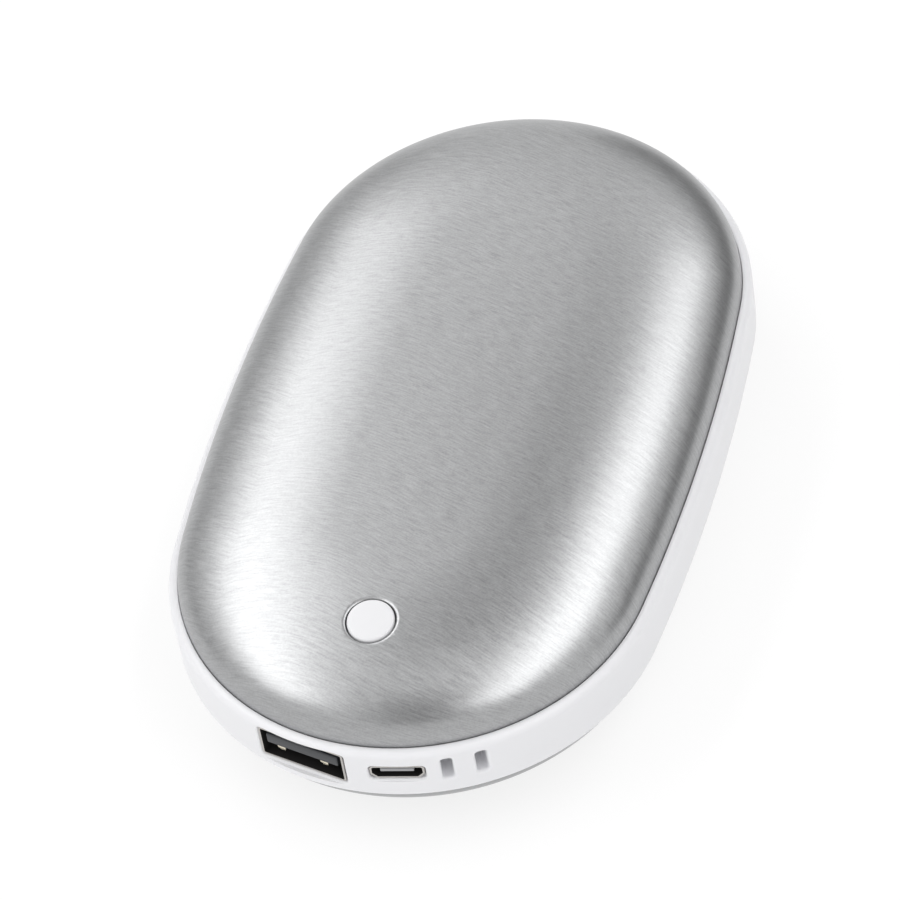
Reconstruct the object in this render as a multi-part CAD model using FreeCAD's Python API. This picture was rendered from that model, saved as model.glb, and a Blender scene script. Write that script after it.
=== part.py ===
import FreeCAD, Part
import math
import os

from FreeCAD import Vector

# A pebble-shaped hand warmer that also charges other things. Two drawn metal shells close a plastic
# band, and the band carries the sockets, the board and the cells. Millimetres, +Z up, sockets towards
# -Y, and the origin on the ground under the middle.

# Body outline and crown
BODY_LENGTH = 120.0
BODY_WIDTH = 72.0
SIDE_RADIUS = 300.0
BAND_HEIGHT = 9.2
CROWN_RISE = 8.9
CROWN_FLAT_SHARE = 0.2834
CROWN_EXPONENT = 2.3
CROWN_STEPS = 12

# Plastic band
LIP_RADIUS = 1.2
LIP_LAND = 0.15
BAND_WALL = 3.4
LUG_RADIUS = 3.0
LUG_REACH = 3.6
PORT_GAP = 0.12
PORT_CORNER = 0.6
PORT_RISE = 0.6
PORT_SPACING = 1.3
CUT_OVERRUN = 1.0

# Metal shells and the adhesive rings under their rims
SHELL_WALL = 0.8
SHELL_SEAM = 0.15
SHELL_TUCK = 0.35
GASKET_THICKNESS = 0.2
GASKET_MARGIN = 0.1

# Wrist cord slots
SLOT_SPACING = 3.14
SLOT_PITCH = 4.8
SLOT_WIDTH = 1.6
SLOT_HEIGHT = 4.1
SLOT_CORNER = 0.5
SLOT_RISE = 0.8
CORD_BAR = 1.8
CORD_CHANNEL = 2.2
CORD_WALL = 0.9

# USB-A socket
USB_A_ANGLE = -11.9
USB_A_WIDTH = 13.1
USB_A_HEIGHT = 5.7
USB_A_LENGTH = 10.5
USB_A_SHEET = 0.3
USB_A_CORNER = 0.5
USB_A_RECESS = 0.8
USB_A_EAR_REACH = 1.4
USB_A_EAR_LENGTH = 1.4
USB_A_EAR_PITCH = 2.3
USB_A_WINDOW_WIDTH = 2.0
USB_A_WINDOW_LENGTH = 2.6
USB_A_WINDOW_PITCH = 5.6
USB_A_BACK = 1.4
USB_A_TONGUE_SIDE = 0.7
USB_A_TONGUE_THICKNESS = 1.85
USB_A_TONGUE_DROP = 0.85
USB_A_TONGUE_SETBACK = 0.1
USB_A_CONTACT_PITCH_SHARE = 0.6
USB_A_CONTACT_WIDTH = 1.2
USB_A_CONTACT_SHEET = 0.25
USB_A_CONTACT_NOSE = 1.1
USB_A_CONTACT_NOSE_LENGTH = 0.5
USB_A_CONTACT_SETBACK = 0.05
USB_A_CONTACT_FOOT = 1.2

# Micro-USB socket
MICRO_WIDTH = 7.5
MICRO_HEIGHT = 2.5
MICRO_LENGTH = 5.6
MICRO_SHEET = 0.3
MICRO_CHAMFER = 0.9
MICRO_TOP_CHAMFER = 0.35
MICRO_RECESS = 0.4
MICRO_OPENING_CORNER = 0.7
MICRO_BACK = 1.2
MICRO_TONGUE_SIDE = 1.15
MICRO_TONGUE_THICKNESS = 0.6
MICRO_TONGUE_DROP = 0.3
MICRO_TONGUE_SETBACK = 0.1
MICRO_CONTACT_COUNT = 5
MICRO_CONTACT_PITCH = 0.65
MICRO_CONTACT_WIDTH = 0.35
MICRO_CONTACT_SHEET = 0.15
MICRO_CONTACT_SETBACK = 0.3
MICRO_CONTACT_FOOT = 0.9
SOCKET_FIT = 0.05

# Circuit board and what is soldered to it
BOARD_INSET = 3.8
BOARD_DEPTH = 30.5
BOARD_THICKNESS = 1.0
BOARD_GAP = 0.3
BOARD_LUG_ANGLE = 58.0
BOARD_LUG_HEIGHT = 2.4
BOARD_SCREW_EDGE = 2.4
INDUCTOR_SIDE = 8.0
INDUCTOR_CORNER = 1.5
INDUCTOR_HEIGHT = 4.0
INDUCTOR_LID_SIDE = 7.0
INDUCTOR_LID_HEIGHT = 0.6
INDUCTOR_PLACE_SHARES = (-0.62, 0.68)
CHIP_SIDE = 5.0
CHIP_CORNER = 0.3
CHIP_HEIGHT = 0.9
CHIP_PLACE_SHARES = ((0.48, 0.38), (-0.27, 0.66))
CAPACITOR_LENGTH = 3.2
CAPACITOR_WIDTH = 1.6
CAPACITOR_HEIGHT = 1.4
CAPACITOR_CORNER = 0.2
CAPACITOR_PLACE_SHARES = ((0.40, 0.68), (0.56, 0.68), (0.72, 0.68), (0.40, 0.80), (0.56, 0.80))
LED_LENGTH = 1.6
LED_WIDTH = 0.8
LED_HEIGHT = 0.7
LED_CORNER = 0.1
LED_PITCH = 10.4

# Tact switch
SWITCH_SIDE = 6.0
SWITCH_CORNER = 0.6
SWITCH_BASE_HEIGHT = 3.5
SWITCH_WELL_RADIUS = 2.5
SWITCH_WELL_DEPTH = 1.5
SWITCH_COVER_SHEET = 0.3
SWITCH_TOTAL_HEIGHT = 8.0
SWITCH_RUN_GAP = 0.2
SWITCH_LEG_WIDTH = 0.8
SWITCH_LEG_SHEET = 0.25
SWITCH_LEG_REACH = 1.2
SWITCH_LEG_PITCH = 4.5
PLUNGER_RADIUS = 1.6
PLUNGER_FLANGE_RADIUS = 2.2
PLUNGER_FLANGE_HEIGHT = 0.5
PLUNGER_PLAY = 0.1
SNAP_DOME_RADIUS = 2.2
SNAP_DOME_SHEET = 0.1

# Power button and its guide
BUTTON_SETBACK = 16.4
BUTTON_RADIUS = 3.3
BUTTON_GAP = 0.2
BUTTON_PROUD = 0.15
BUTTON_TRAVEL = 0.4
BUTTON_CHAMFER = 0.2
BUTTON_FLANGE_RADIUS = 4.4
BUTTON_FLANGE_HEIGHT = 1.0
BUTTON_STEM_RADIUS = 1.5
GUIDE_WALL = 1.2
GUIDE_FLOOR = 0.9
GUIDE_GLUE = 0.1
GUIDE_PLAY = 0.3
GUIDE_STEM_FIT = 0.1

# Cells, their tabs and the tray
CELL_RADIUS = 9.15
CELL_GROOVE_DEPTH = 0.4
CELL_GROOVE_WIDTH = 1.0
CELL_SHOULDER = 2.4
CELL_CAP_RADIUS = 5.6
CELL_CAP_RISE = 0.4
TAB_SHEET = 0.2
TAB_HEIGHT = 8.0
TAB_OVERLAP = 4.0
TAB_CORNER = 1.0
TAB_NOTCH_WIDTH = 3.0
TAB_NOTCH_DEPTH = 4.0
TRAY_WALL = 1.0
TRAY_FIT = 0.2
TRAY_DIVIDER = 1.3
TRAY_END_WALL = 1.2
TRAY_END_SPACE = 0.8
TRAY_FRONT_GAP = 0.8
TRAY_EAR_SHEET = 1.6
TRAY_EAR_PITCH_SHARE = 0.636
TRAY_REAR_SPACE = 15.7
TRAY_SHELF_WIDTH = 18.0
TRAY_SHELF_REACH = 3.0
TRAY_SHELF_SHEET = 1.6
TRAY_WINDOW_WIDTH = 9.0
TRAY_WINDOW_LENGTH_SHARE = 0.347
TRAY_WINDOW_CORNER = 2.0
TRAY_WINDOW_PITCH_SHARE = 0.448

# Heater films, foam, sensors and leads
FILM_THICKNESS = 0.25
FILM_MARGIN = 0.8
FOAM_MARGIN = 1.6
FOAM_FIT = 0.1
SENSOR_RADIUS = 1.2
SENSOR_HEIGHT = 0.9
SENSOR_AHEAD = 3.0
LEAD_DIAMETER = 1.1
LEAD_BEND = 3.2
BATTERY_LEAD_REACH = 3.8
BATTERY_LEAD_OFFSET = 6.0
HEATER_LEAD_PITCH = 6.0
HEATER_LEAD_INSIDE = 2.9
HEATER_LEAD_JOG = 3.6
HEATER_LEAD_JOG_SHARES = (0.34, 0.66)

# Screws
SCREW_RADIUS = 0.95
SCREW_FIT = 0.05
SCREW_LENGTH = 3.4
SCREW_HEAD_RADIUS = 1.8
SCREW_HEAD_HEIGHT = 1.2
SCREW_SOCKET_WIDTH = 0.5
SCREW_SOCKET_DEPTH = 0.5

# Places that follow from the sizes above
half_length = BODY_LENGTH / 2
half_width = BODY_WIDTH / 2
side_centre = SIDE_RADIUS - half_width
END_RADIUS = (SIDE_RADIUS**2 - side_centre**2 - half_length**2) / (2 * (SIDE_RADIUS - half_length))
end_centre = half_length - END_RADIUS
turn_angle = math.atan2(end_centre, side_centre)
body_height = BAND_HEIGHT + 2 * CROWN_RISE
band_bottom = CROWN_RISE
band_top = CROWN_RISE + BAND_HEIGHT
middle = body_height / 2
seat_inset = LIP_RADIUS + LIP_LAND
seat_depth = SHELL_TUCK + GASKET_THICKNESS
seat_top = band_top - seat_depth
seat_bottom = band_bottom + seat_depth
shell_inset = seat_inset + SHELL_SEAM
crown_flat_inset = half_width - CROWN_FLAT_SHARE * half_width
crown_run = crown_flat_inset - shell_inset
port_level = middle + PORT_RISE
micro_back_radius = END_RADIUS - MICRO_RECESS - MICRO_LENGTH
micro_corner_reach = math.hypot(micro_back_radius, MICRO_WIDTH / 2)
micro_corner_turn = math.atan2(MICRO_WIDTH / 2, micro_back_radius)
micro_turn = micro_corner_turn + math.asin((USB_A_WIDTH / 2 + PORT_SPACING) / micro_corner_reach)
micro_angle = USB_A_ANGLE + math.degrees(micro_turn)
slot_pitch_angle = math.degrees(SLOT_PITCH / END_RADIUS)
slot_angle = micro_angle + math.degrees((MICRO_WIDTH / 2 + SLOT_SPACING + SLOT_PITCH / 2) / END_RADIUS)
usb_a_tongue_width = USB_A_WIDTH - 2 * (USB_A_SHEET + USB_A_TONGUE_SIDE)
micro_tongue_width = MICRO_WIDTH - 2 * (MICRO_SHEET + MICRO_TONGUE_SIDE)
board_top = port_level - MICRO_HEIGHT / 2
board_bottom = board_top - BOARD_THICKNESS
board_front = BOARD_INSET - half_length
board_rear = board_front + BOARD_DEPTH
board_screw_reach = END_RADIUS - BAND_WALL - LUG_REACH
board_screw_x = board_screw_reach * math.sin(math.radians(BOARD_LUG_ANGLE))
board_screw_y = -end_centre - board_screw_reach * math.cos(math.radians(BOARD_LUG_ANGLE))
board_half = board_screw_x + BOARD_SCREW_EDGE
button_y = BUTTON_SETBACK - half_length
switch_top = board_top + SWITCH_BASE_HEIGHT
plunger_top = board_top + SWITCH_TOTAL_HEIGHT
tray_front = board_rear + TRAY_FRONT_GAP
cell_front = tray_front + TRAY_END_WALL + TRAY_END_SPACE
tray_rear = half_length - TRAY_REAR_SPACE
cell_rear = tray_rear - TRAY_END_WALL - TRAY_END_SPACE
cell_length = cell_rear - cell_front
tray_length = tray_rear - tray_front
tray_centre = (tray_front + tray_rear) / 2
trough_radius = CELL_RADIUS + TRAY_FIT
cell_x = trough_radius + TRAY_DIVIDER / 2
tray_radius = trough_radius + TRAY_WALL
ear_bottom = middle - TRAY_EAR_SHEET
film_inset = crown_flat_inset + FILM_MARGIN
film_front = film_inset - half_length
sensor_y = cell_front - SENSOR_AHEAD
upper_film_bottom = body_height - SHELL_WALL - FILM_THICKNESS
lower_film_top = SHELL_WALL + FILM_THICKNESS
battery_lead_level = board_top + LEAD_BEND + LEAD_DIAMETER
X_AXIS = Vector(1, 0, 0)
Y_AXIS = Vector(0, 1, 0)
Z_AXIS = Vector(0, 0, 1)


def oval(inset, level):
    """Closed outline of four tangent arcs, drawn in from the widest outline by inset."""
    radius = END_RADIUS - inset
    turn_x = radius * math.cos(turn_angle)
    turn_y = end_centre + radius * math.sin(turn_angle)
    corners = [(turn_x, -turn_y), (turn_x, turn_y), (-turn_x, turn_y), (-turn_x, -turn_y)]
    side_x = half_width - inset
    end_y = half_length - inset
    crests = [(side_x, 0), (0, end_y), (-side_x, 0), (0, -end_y)]
    arcs = []
    for start, crest, end in zip(corners, crests, corners[1:] + corners[:1]):
        points = [Vector(x, y, level) for x, y in (start, crest, end)]
        arcs.append(Part.Arc(*points).toShape())
    return Part.Wire(arcs)


def oval_prism(inset, bottom, top):
    return Part.Face(oval(inset, bottom)).extrude(Vector(0, 0, top - bottom))


def oval_half_width(inset, y):
    """Half the width of the drawn-in outline at a place along the body."""
    end_reach = abs(y) - end_centre - (END_RADIUS - inset) * math.sin(turn_angle)
    if end_reach > 0:
        return math.sqrt((END_RADIUS - inset)**2 - (abs(y) - end_centre)**2)
    return math.sqrt((SIDE_RADIUS - inset)**2 - y**2) - side_centre


def crown_height(inset):
    """Height of a shell's outside over its rim, at a distance in from the widest outline."""
    share = 1 - (inset - shell_inset) / crown_run
    return CROWN_RISE * (1 - share**CROWN_EXPONENT)**(1 / CROWN_EXPONENT)


def crown_profile(wall):
    """Inset and height of points on the crown's section, a wall's thickness inside its outer face."""
    power = 2 / CROWN_EXPONENT
    rows = [(shell_inset + wall, 0)]
    for step in range(1, CROWN_STEPS):
        turn = (1 - math.cos(math.pi * step / CROWN_STEPS)) * math.pi / 4
        across = crown_run * (1 - math.cos(turn)**power)
        height = CROWN_RISE * math.sin(turn)**power
        slope_across = crown_run * math.cos(turn)**(power - 1) * math.sin(turn)
        slope_height = CROWN_RISE * math.sin(turn)**(power - 1) * math.cos(turn)
        length = math.hypot(slope_across, slope_height)
        across += wall * slope_height / length
        height -= wall * slope_across / length
        rows.append((shell_inset + across, height))
    rows.append((shell_inset + crown_run, CROWN_RISE - wall))
    return rows


def crown_solid(wall):
    """Space under a crown, a wall's thickness inside its outer face."""
    sections = [oval(inset, band_top + height) for inset, height in crown_profile(wall)]
    return Part.makeLoft(sections, True, False)


def skirted_crown(wall, depth):
    """The same space with a straight skirt below it."""
    return fused([crown_solid(wall), oval_prism(shell_inset + wall, band_top - depth, band_top)])


def to_lower_half(shape):
    return shape.mirror(Vector(0, 0, middle), Z_AXIS)


def rounded_rectangle(width, depth, radius):
    """Closed rounded rectangle about the origin, in X and Y."""
    x = width / 2 - radius
    y = depth / 2 - radius
    centres = ((x, y), (-x, y), (-x, -y), (x, -y))
    arcs = []
    for quarter, centre in enumerate(centres):
        start = quarter * 90
        arcs.append(Part.makeCircle(radius, Vector(*centre, 0), Z_AXIS, start, start + 90))
    edges = []
    for arc, following in zip(arcs, arcs[1:] + arcs[:1]):
        end = arc.valueAt(arc.LastParameter)
        edges.append(arc)
        edges.append(Part.makeLine(end, following.valueAt(following.FirstParameter)))
    return Part.Wire(edges)


def rounded_block(width, depth, height, radius, place):
    """Upright block with rounded corners, standing on place."""
    block = Part.Face(rounded_rectangle(width, depth, radius)).extrude(Vector(0, 0, height))
    block.translate(place)
    return block


def along_y(outline, front, back):
    """Outline in X and Y turned upright and drawn along Y."""
    bar = Part.Face(outline).extrude(Vector(0, 0, back - front))
    bar.rotate(Vector(), X_AXIS, 90)
    bar.translate(Vector(0, back, 0))
    return bar


def box(low_x, high_x, low_y, high_y, low_z, high_z):
    return Part.makeBox(high_x - low_x, high_y - low_y, high_z - low_z, Vector(low_x, low_y, low_z))


def at_wall(shape, angle, level):
    """Shape made at the origin, facing -Y, set square to the end wall's face at an angle round the end."""
    placed = shape.copy()
    placed.translate(Vector(0, -END_RADIUS, 0))
    placed.rotate(Vector(), Z_AXIS, angle)
    placed.translate(Vector(0, -end_centre, level))
    return placed


def fused(shapes):
    return shapes[0].multiFuse(shapes[1:]).removeSplitter()


def cord_block_outline(margin):
    """Width, depth, bottom and top of the space behind the cord slots, with a margin round it."""
    width = SLOT_PITCH + SLOT_WIDTH + 2 * (CORD_WALL + margin)
    depth = CORD_BAR + CORD_CHANNEL + CORD_WALL + margin
    reach = SLOT_HEIGHT / 2 + CORD_WALL + margin
    return width, depth, middle + SLOT_RISE - reach, middle + SLOT_RISE + reach


def cord_block(margin):
    width, depth, bottom, top = cord_block_outline(margin)
    block = box(-width / 2, width / 2, BAND_WALL / 2, depth, bottom, top)
    return at_wall(block, slot_angle, 0)


def cord_slots():
    """Two upright slots, joined behind the bar that a wrist cord loops round."""
    outline = rounded_rectangle(SLOT_WIDTH, SLOT_HEIGHT, SLOT_CORNER)
    back = CORD_BAR + CORD_CHANNEL
    slots = []
    for side in (-1, 1):
        angle = slot_angle + side * slot_pitch_angle / 2
        slots.append(at_wall(along_y(outline, -CUT_OVERRUN, back), angle, middle + SLOT_RISE))
    joining = along_y(rounded_rectangle(SLOT_PITCH, SLOT_HEIGHT - SLOT_CORNER, SLOT_CORNER), CORD_BAR, back)
    slots.append(at_wall(joining, slot_angle, middle + SLOT_RISE))
    return fused(slots)


def tray_screw_places():
    """Places of the tray's screws and the direction from each to the band's wall."""
    reach = TRAY_EAR_PITCH_SHARE * tray_length / 2
    places = []
    for y in (tray_centre - reach, tray_centre + reach):
        x = oval_half_width(BAND_WALL, y) - LUG_REACH
        places.append((x, y, 0))
        places.append((-x, y, 180))
    return places


def board_screw_places():
    """Places of the board's screws and the direction from each to the band's wall."""
    right = (board_screw_x, board_screw_y, BOARD_LUG_ANGLE - 90)
    left = (-board_screw_x, board_screw_y, -BOARD_LUG_ANGLE - 90)
    return [right, left]


def lug(x, y, turn, bottom, top):
    """Screw lug that reaches in from the band's wall, with its screw hole."""
    pad = Part.makeCylinder(LUG_RADIUS, top - bottom)
    arm = box(0, LUG_REACH + BAND_WALL, -LUG_RADIUS, LUG_RADIUS, 0, top - bottom)
    body = fused([pad, arm])
    body = body.cut(Part.makeCylinder(SCREW_RADIUS + SCREW_FIT, top - bottom))
    body.rotate(Vector(), Z_AXIS, turn)
    body.translate(Vector(x, y, bottom))
    return body.common(oval_prism(BAND_WALL / 2, bottom, top))


def middle_frame():
    """White band: rounded lips, seats for both shells, socket openings, cord slots and screw lugs."""
    band = oval_prism(0, band_bottom, band_top)
    lips = [edge for edge in band.Edges if edge.BoundBox.ZLength < LIP_RADIUS]
    band = band.makeFillet(LIP_RADIUS, lips)
    band = band.cut(oval_prism(seat_inset, seat_top, band_top + CUT_OVERRUN))
    band = band.cut(oval_prism(seat_inset, band_bottom - CUT_OVERRUN, seat_bottom))
    band = band.cut(oval_prism(BAND_WALL, band_bottom - CUT_OVERRUN, band_top + CUT_OVERRUN))
    inner = oval_prism(BAND_WALL / 2, seat_bottom, seat_top)
    added = [cord_block(0).common(inner)]
    added += [lug(x, y, turn, seat_bottom, ear_bottom) for x, y, turn in tray_screw_places()]
    added += [lug(x, y, turn, board_top, board_top + BOARD_LUG_HEIGHT) for x, y, turn in board_screw_places()]
    band = fused([band] + added)
    through = 2 * BAND_WALL
    usb_a = rounded_rectangle(USB_A_WIDTH + 2 * PORT_GAP, USB_A_HEIGHT + 2 * PORT_GAP, PORT_CORNER)
    micro = rounded_rectangle(MICRO_WIDTH + 2 * PORT_GAP, MICRO_HEIGHT + 2 * PORT_GAP, MICRO_OPENING_CORNER)
    band = band.cut(at_wall(along_y(usb_a, -CUT_OVERRUN, through), USB_A_ANGLE, port_level))
    band = band.cut(at_wall(along_y(micro, -CUT_OVERRUN, through), micro_angle, port_level))
    return band.cut(cord_slots())


def shell():
    """Drawn metal shell, its rim tucked into the band's seat."""
    outside = skirted_crown(0, SHELL_TUCK)
    return outside.cut(skirted_crown(SHELL_WALL, SHELL_TUCK + CUT_OVERRUN))


def upper_shell():
    """Upper shell with the button's hole, whose outer edge is broken."""
    hole_radius = BUTTON_RADIUS + BUTTON_GAP
    hole = Part.makeCylinder(hole_radius, body_height, Vector(0, button_y, middle))
    holed = shell().cut(hole)
    inside_wall = band_top + crown_height(BUTTON_SETBACK) - SHELL_WALL / 2
    rims = []
    for edge in holed.Edges:
        centre = edge.BoundBox.Center
        at_hole = math.hypot(centre.x, centre.y - button_y) < hole_radius
        small = edge.BoundBox.XLength < 2 * BUTTON_FLANGE_RADIUS
        if at_hole and small and centre.z > inside_wall:
            rims.append(edge)
    return holed.makeChamfer(BUTTON_CHAMFER, rims)


def gasket():
    """Adhesive ring between the upper shell's rim and its seat."""
    ring = oval_prism(shell_inset, seat_top, seat_top + GASKET_THICKNESS)
    return ring.cut(oval_prism(BAND_WALL - GASKET_MARGIN, seat_top, seat_top + GASKET_THICKNESS))


def flange_top():
    """Level of the button's flange, just under the shell at the flange's front edge."""
    front_inset = BUTTON_SETBACK - BUTTON_FLANGE_RADIUS - GUIDE_PLAY
    slope = (crown_height(BUTTON_SETBACK) - crown_height(front_inset)) / (BUTTON_SETBACK - front_inset)
    return band_top + crown_height(front_inset) - SHELL_WALL * math.hypot(1, slope) - GUIDE_PLAY


def power_button():
    """Cap shaped to the crown, with a flange that keeps it in and a stem down to the switch."""
    top = flange_top()
    cap = Part.makeCylinder(BUTTON_RADIUS, body_height - top, Vector(0, button_y, top))
    crown = crown_solid(0)
    crown.translate(Vector(0, 0, BUTTON_PROUD))
    cap = cap.common(crown)
    bottom = top - BUTTON_FLANGE_HEIGHT
    flange = Part.makeCylinder(BUTTON_FLANGE_RADIUS, BUTTON_FLANGE_HEIGHT, Vector(0, button_y, bottom))
    stem = Part.makeCylinder(BUTTON_STEM_RADIUS, bottom - plunger_top, Vector(0, button_y, plunger_top))
    return fused([cap, flange, stem])


def button_guide():
    """Cup glued under the shell. The button's flange slides in it, and its floor keeps the button in."""
    inner = BUTTON_FLANGE_RADIUS + GUIDE_PLAY
    floor_top = flange_top() - BUTTON_FLANGE_HEIGHT - BUTTON_TRAVEL - GUIDE_PLAY
    bottom = floor_top - GUIDE_FLOOR
    cup = Part.makeCylinder(inner + GUIDE_WALL, body_height - bottom, Vector(0, button_y, bottom))
    cup = cup.cut(Part.makeCylinder(inner, body_height - floor_top, Vector(0, button_y, floor_top)))
    stem_hole = BUTTON_STEM_RADIUS + GUIDE_STEM_FIT
    cup = cup.cut(Part.makeCylinder(stem_hole, GUIDE_FLOOR, Vector(0, button_y, bottom)))
    return cup.common(crown_solid(SHELL_WALL + GUIDE_GLUE))


def usb_a_shell():
    """Folded sheet box, open in front, with latch windows and ears that sit on the board."""
    back = USB_A_RECESS + USB_A_LENGTH
    inner_corner = USB_A_CORNER - USB_A_SHEET
    inner_width = USB_A_WIDTH - 2 * USB_A_SHEET
    inner_height = USB_A_HEIGHT - 2 * USB_A_SHEET
    body = along_y(rounded_rectangle(USB_A_WIDTH, USB_A_HEIGHT, USB_A_CORNER), USB_A_RECESS, back)
    inside = rounded_rectangle(inner_width, inner_height, inner_corner)
    body = body.cut(along_y(inside, USB_A_RECESS - CUT_OVERRUN, back + CUT_OVERRUN))
    centre_y = USB_A_RECESS + USB_A_LENGTH / 2
    for side in (-1, 1):
        x = side * USB_A_WINDOW_PITCH / 2
        window = box(x - USB_A_WINDOW_WIDTH / 2, x + USB_A_WINDOW_WIDTH / 2,
                     centre_y - USB_A_WINDOW_LENGTH / 2, centre_y + USB_A_WINDOW_LENGTH / 2,
                     -USB_A_HEIGHT, USB_A_HEIGHT)
        body = body.cut(window)
    ears = []
    ear_level = board_top - port_level
    wall_x = USB_A_WIDTH / 2 - USB_A_SHEET
    for x in (-wall_x - USB_A_SHEET - USB_A_EAR_REACH, wall_x):
        for y in (back - USB_A_EAR_LENGTH - USB_A_EAR_PITCH, back - USB_A_EAR_LENGTH):
            ears.append(box(x, x + USB_A_SHEET + USB_A_EAR_REACH, y, y + USB_A_EAR_LENGTH,
                            ear_level, ear_level + USB_A_SHEET))
    return at_wall(fused([body] + ears), USB_A_ANGLE, port_level)


def usb_a_contact_bars():
    """Two power contacts under the tongue: a rounded nose, a flat run and a foot on the board."""
    back = USB_A_RECESS + USB_A_LENGTH
    front = USB_A_RECESS + USB_A_TONGUE_SETBACK + USB_A_CONTACT_SETBACK
    top = USB_A_HEIGHT / 2 - USB_A_SHEET - USB_A_TONGUE_DROP - USB_A_TONGUE_THICKNESS
    foot = board_top - port_level
    sheet = USB_A_CONTACT_SHEET
    nose_back = front + USB_A_CONTACT_NOSE_LENGTH
    nose_middle = front + USB_A_CONTACT_NOSE_LENGTH / 2
    outline = [(front, top), (back + 2 * sheet, top), (back + 2 * sheet, foot + sheet),
               (back + USB_A_CONTACT_FOOT, foot + sheet), (back + USB_A_CONTACT_FOOT, foot),
               (back + sheet, foot), (back + sheet, top - sheet), (nose_back, top - sheet),
               (nose_middle, top - USB_A_CONTACT_NOSE), (front, top - sheet)]
    bars = []
    for side in (-1, 1):
        x = side * USB_A_CONTACT_PITCH_SHARE * usb_a_tongue_width / 2 - USB_A_CONTACT_WIDTH / 2
        points = [Vector(x, y, z) for y, z in outline + outline[:1]]
        bars.append(Part.Face(Part.makePolygon(points)).extrude(Vector(USB_A_CONTACT_WIDTH, 0, 0)))
    return bars


def usb_a_contacts():
    return at_wall(Part.makeCompound(usb_a_contact_bars()), USB_A_ANGLE, port_level)


def usb_a_tongue():
    """Moulded insert: a block that fills the socket's back and the tongue that carries the contacts."""
    back = USB_A_RECESS + USB_A_LENGTH
    margin = 2 * (USB_A_SHEET + SOCKET_FIT)
    outline = rounded_rectangle(USB_A_WIDTH - margin, USB_A_HEIGHT - margin, USB_A_CORNER - USB_A_SHEET)
    block = along_y(outline, back - USB_A_BACK, back)
    top = USB_A_HEIGHT / 2 - USB_A_SHEET - USB_A_TONGUE_DROP
    front = USB_A_RECESS + USB_A_TONGUE_SETBACK
    tongue = box(-usb_a_tongue_width / 2, usb_a_tongue_width / 2, front, back - USB_A_BACK,
                 top - USB_A_TONGUE_THICKNESS, top)
    insert = fused([block, tongue])
    for bar in usb_a_contact_bars():
        insert = insert.cut(bar)
    return at_wall(insert, USB_A_ANGLE, port_level)


def micro_outline(inset):
    """Socket outline, wide side up, drawn in by inset. All its corners are cut off, the lower ones more."""
    x = MICRO_WIDTH / 2 - inset
    z = MICRO_HEIGHT / 2 - inset
    drawn_in = inset * (2 - math.sqrt(2))
    low = MICRO_CHAMFER - drawn_in
    high = MICRO_TOP_CHAMFER - drawn_in
    right = [(x - low, -z), (x, low - z), (x, z - high), (x - high, z)]
    left = [(-px, pz) for px, pz in reversed(right)]
    return Part.makePolygon([Vector(px, pz, 0) for px, pz in right + left + right[:1]])


def micro_usb_shell():
    back = MICRO_RECESS + MICRO_LENGTH
    body = along_y(micro_outline(0), MICRO_RECESS, back)
    body = body.cut(along_y(micro_outline(MICRO_SHEET), MICRO_RECESS - CUT_OVERRUN, back + CUT_OVERRUN))
    return at_wall(body, micro_angle, port_level)


def micro_usb_contact_bars():
    """Row of thin contacts under the tongue, each with a foot on the board behind the socket."""
    back = MICRO_RECESS + MICRO_LENGTH
    front = MICRO_RECESS + MICRO_TONGUE_SETBACK + MICRO_CONTACT_SETBACK
    top = MICRO_HEIGHT / 2 - MICRO_SHEET - MICRO_TONGUE_DROP - MICRO_TONGUE_THICKNESS
    foot = -MICRO_HEIGHT / 2
    sheet = MICRO_CONTACT_SHEET
    bars = []
    for index in range(MICRO_CONTACT_COUNT):
        centre = (index - (MICRO_CONTACT_COUNT - 1) / 2) * MICRO_CONTACT_PITCH
        low = centre - MICRO_CONTACT_WIDTH / 2
        high = centre + MICRO_CONTACT_WIDTH / 2
        run = box(low, high, front, back + 2 * sheet, top - sheet, top)
        drop = box(low, high, back + sheet, back + 2 * sheet, foot, top)
        pad = box(low, high, back + sheet, back + MICRO_CONTACT_FOOT, foot, foot + sheet)
        bars.append(fused([run, drop, pad]))
    return bars


def micro_usb_contacts():
    return at_wall(Part.makeCompound(micro_usb_contact_bars()), micro_angle, port_level)


def micro_usb_tongue():
    """Moulded insert of the micro socket: back block and thin tongue."""
    back = MICRO_RECESS + MICRO_LENGTH
    block = along_y(micro_outline(MICRO_SHEET + SOCKET_FIT), back - MICRO_BACK, back)
    top = MICRO_HEIGHT / 2 - MICRO_SHEET - MICRO_TONGUE_DROP
    tongue = box(-micro_tongue_width / 2, micro_tongue_width / 2, MICRO_RECESS + MICRO_TONGUE_SETBACK,
                 back - MICRO_BACK, top - MICRO_TONGUE_THICKNESS, top)
    insert = fused([block, tongue])
    for bar in micro_usb_contact_bars():
        insert = insert.cut(bar)
    return at_wall(insert, micro_angle, port_level)


def circuit_board():
    """Board that follows the band's end, notched for the sunk USB-A socket and the cord slots' block."""
    blank = box(-board_half, board_half, -half_length, board_rear, board_bottom, board_top)
    board = blank.common(oval_prism(BOARD_INSET, board_bottom, board_top))
    notch_half = USB_A_WIDTH / 2 + BOARD_GAP
    notch_back = USB_A_RECESS + USB_A_LENGTH + BOARD_GAP
    notch = box(-notch_half, notch_half, 0, notch_back, -USB_A_HEIGHT, USB_A_HEIGHT)
    board = board.cut(at_wall(notch, USB_A_ANGLE, port_level))
    board = board.cut(cord_block(BOARD_GAP))
    for x, y, turn in board_screw_places():
        hole = Part.makeCylinder(SCREW_RADIUS + SCREW_FIT, BOARD_THICKNESS, Vector(x, y, board_bottom))
        board = board.cut(hole)
    return board


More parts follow.
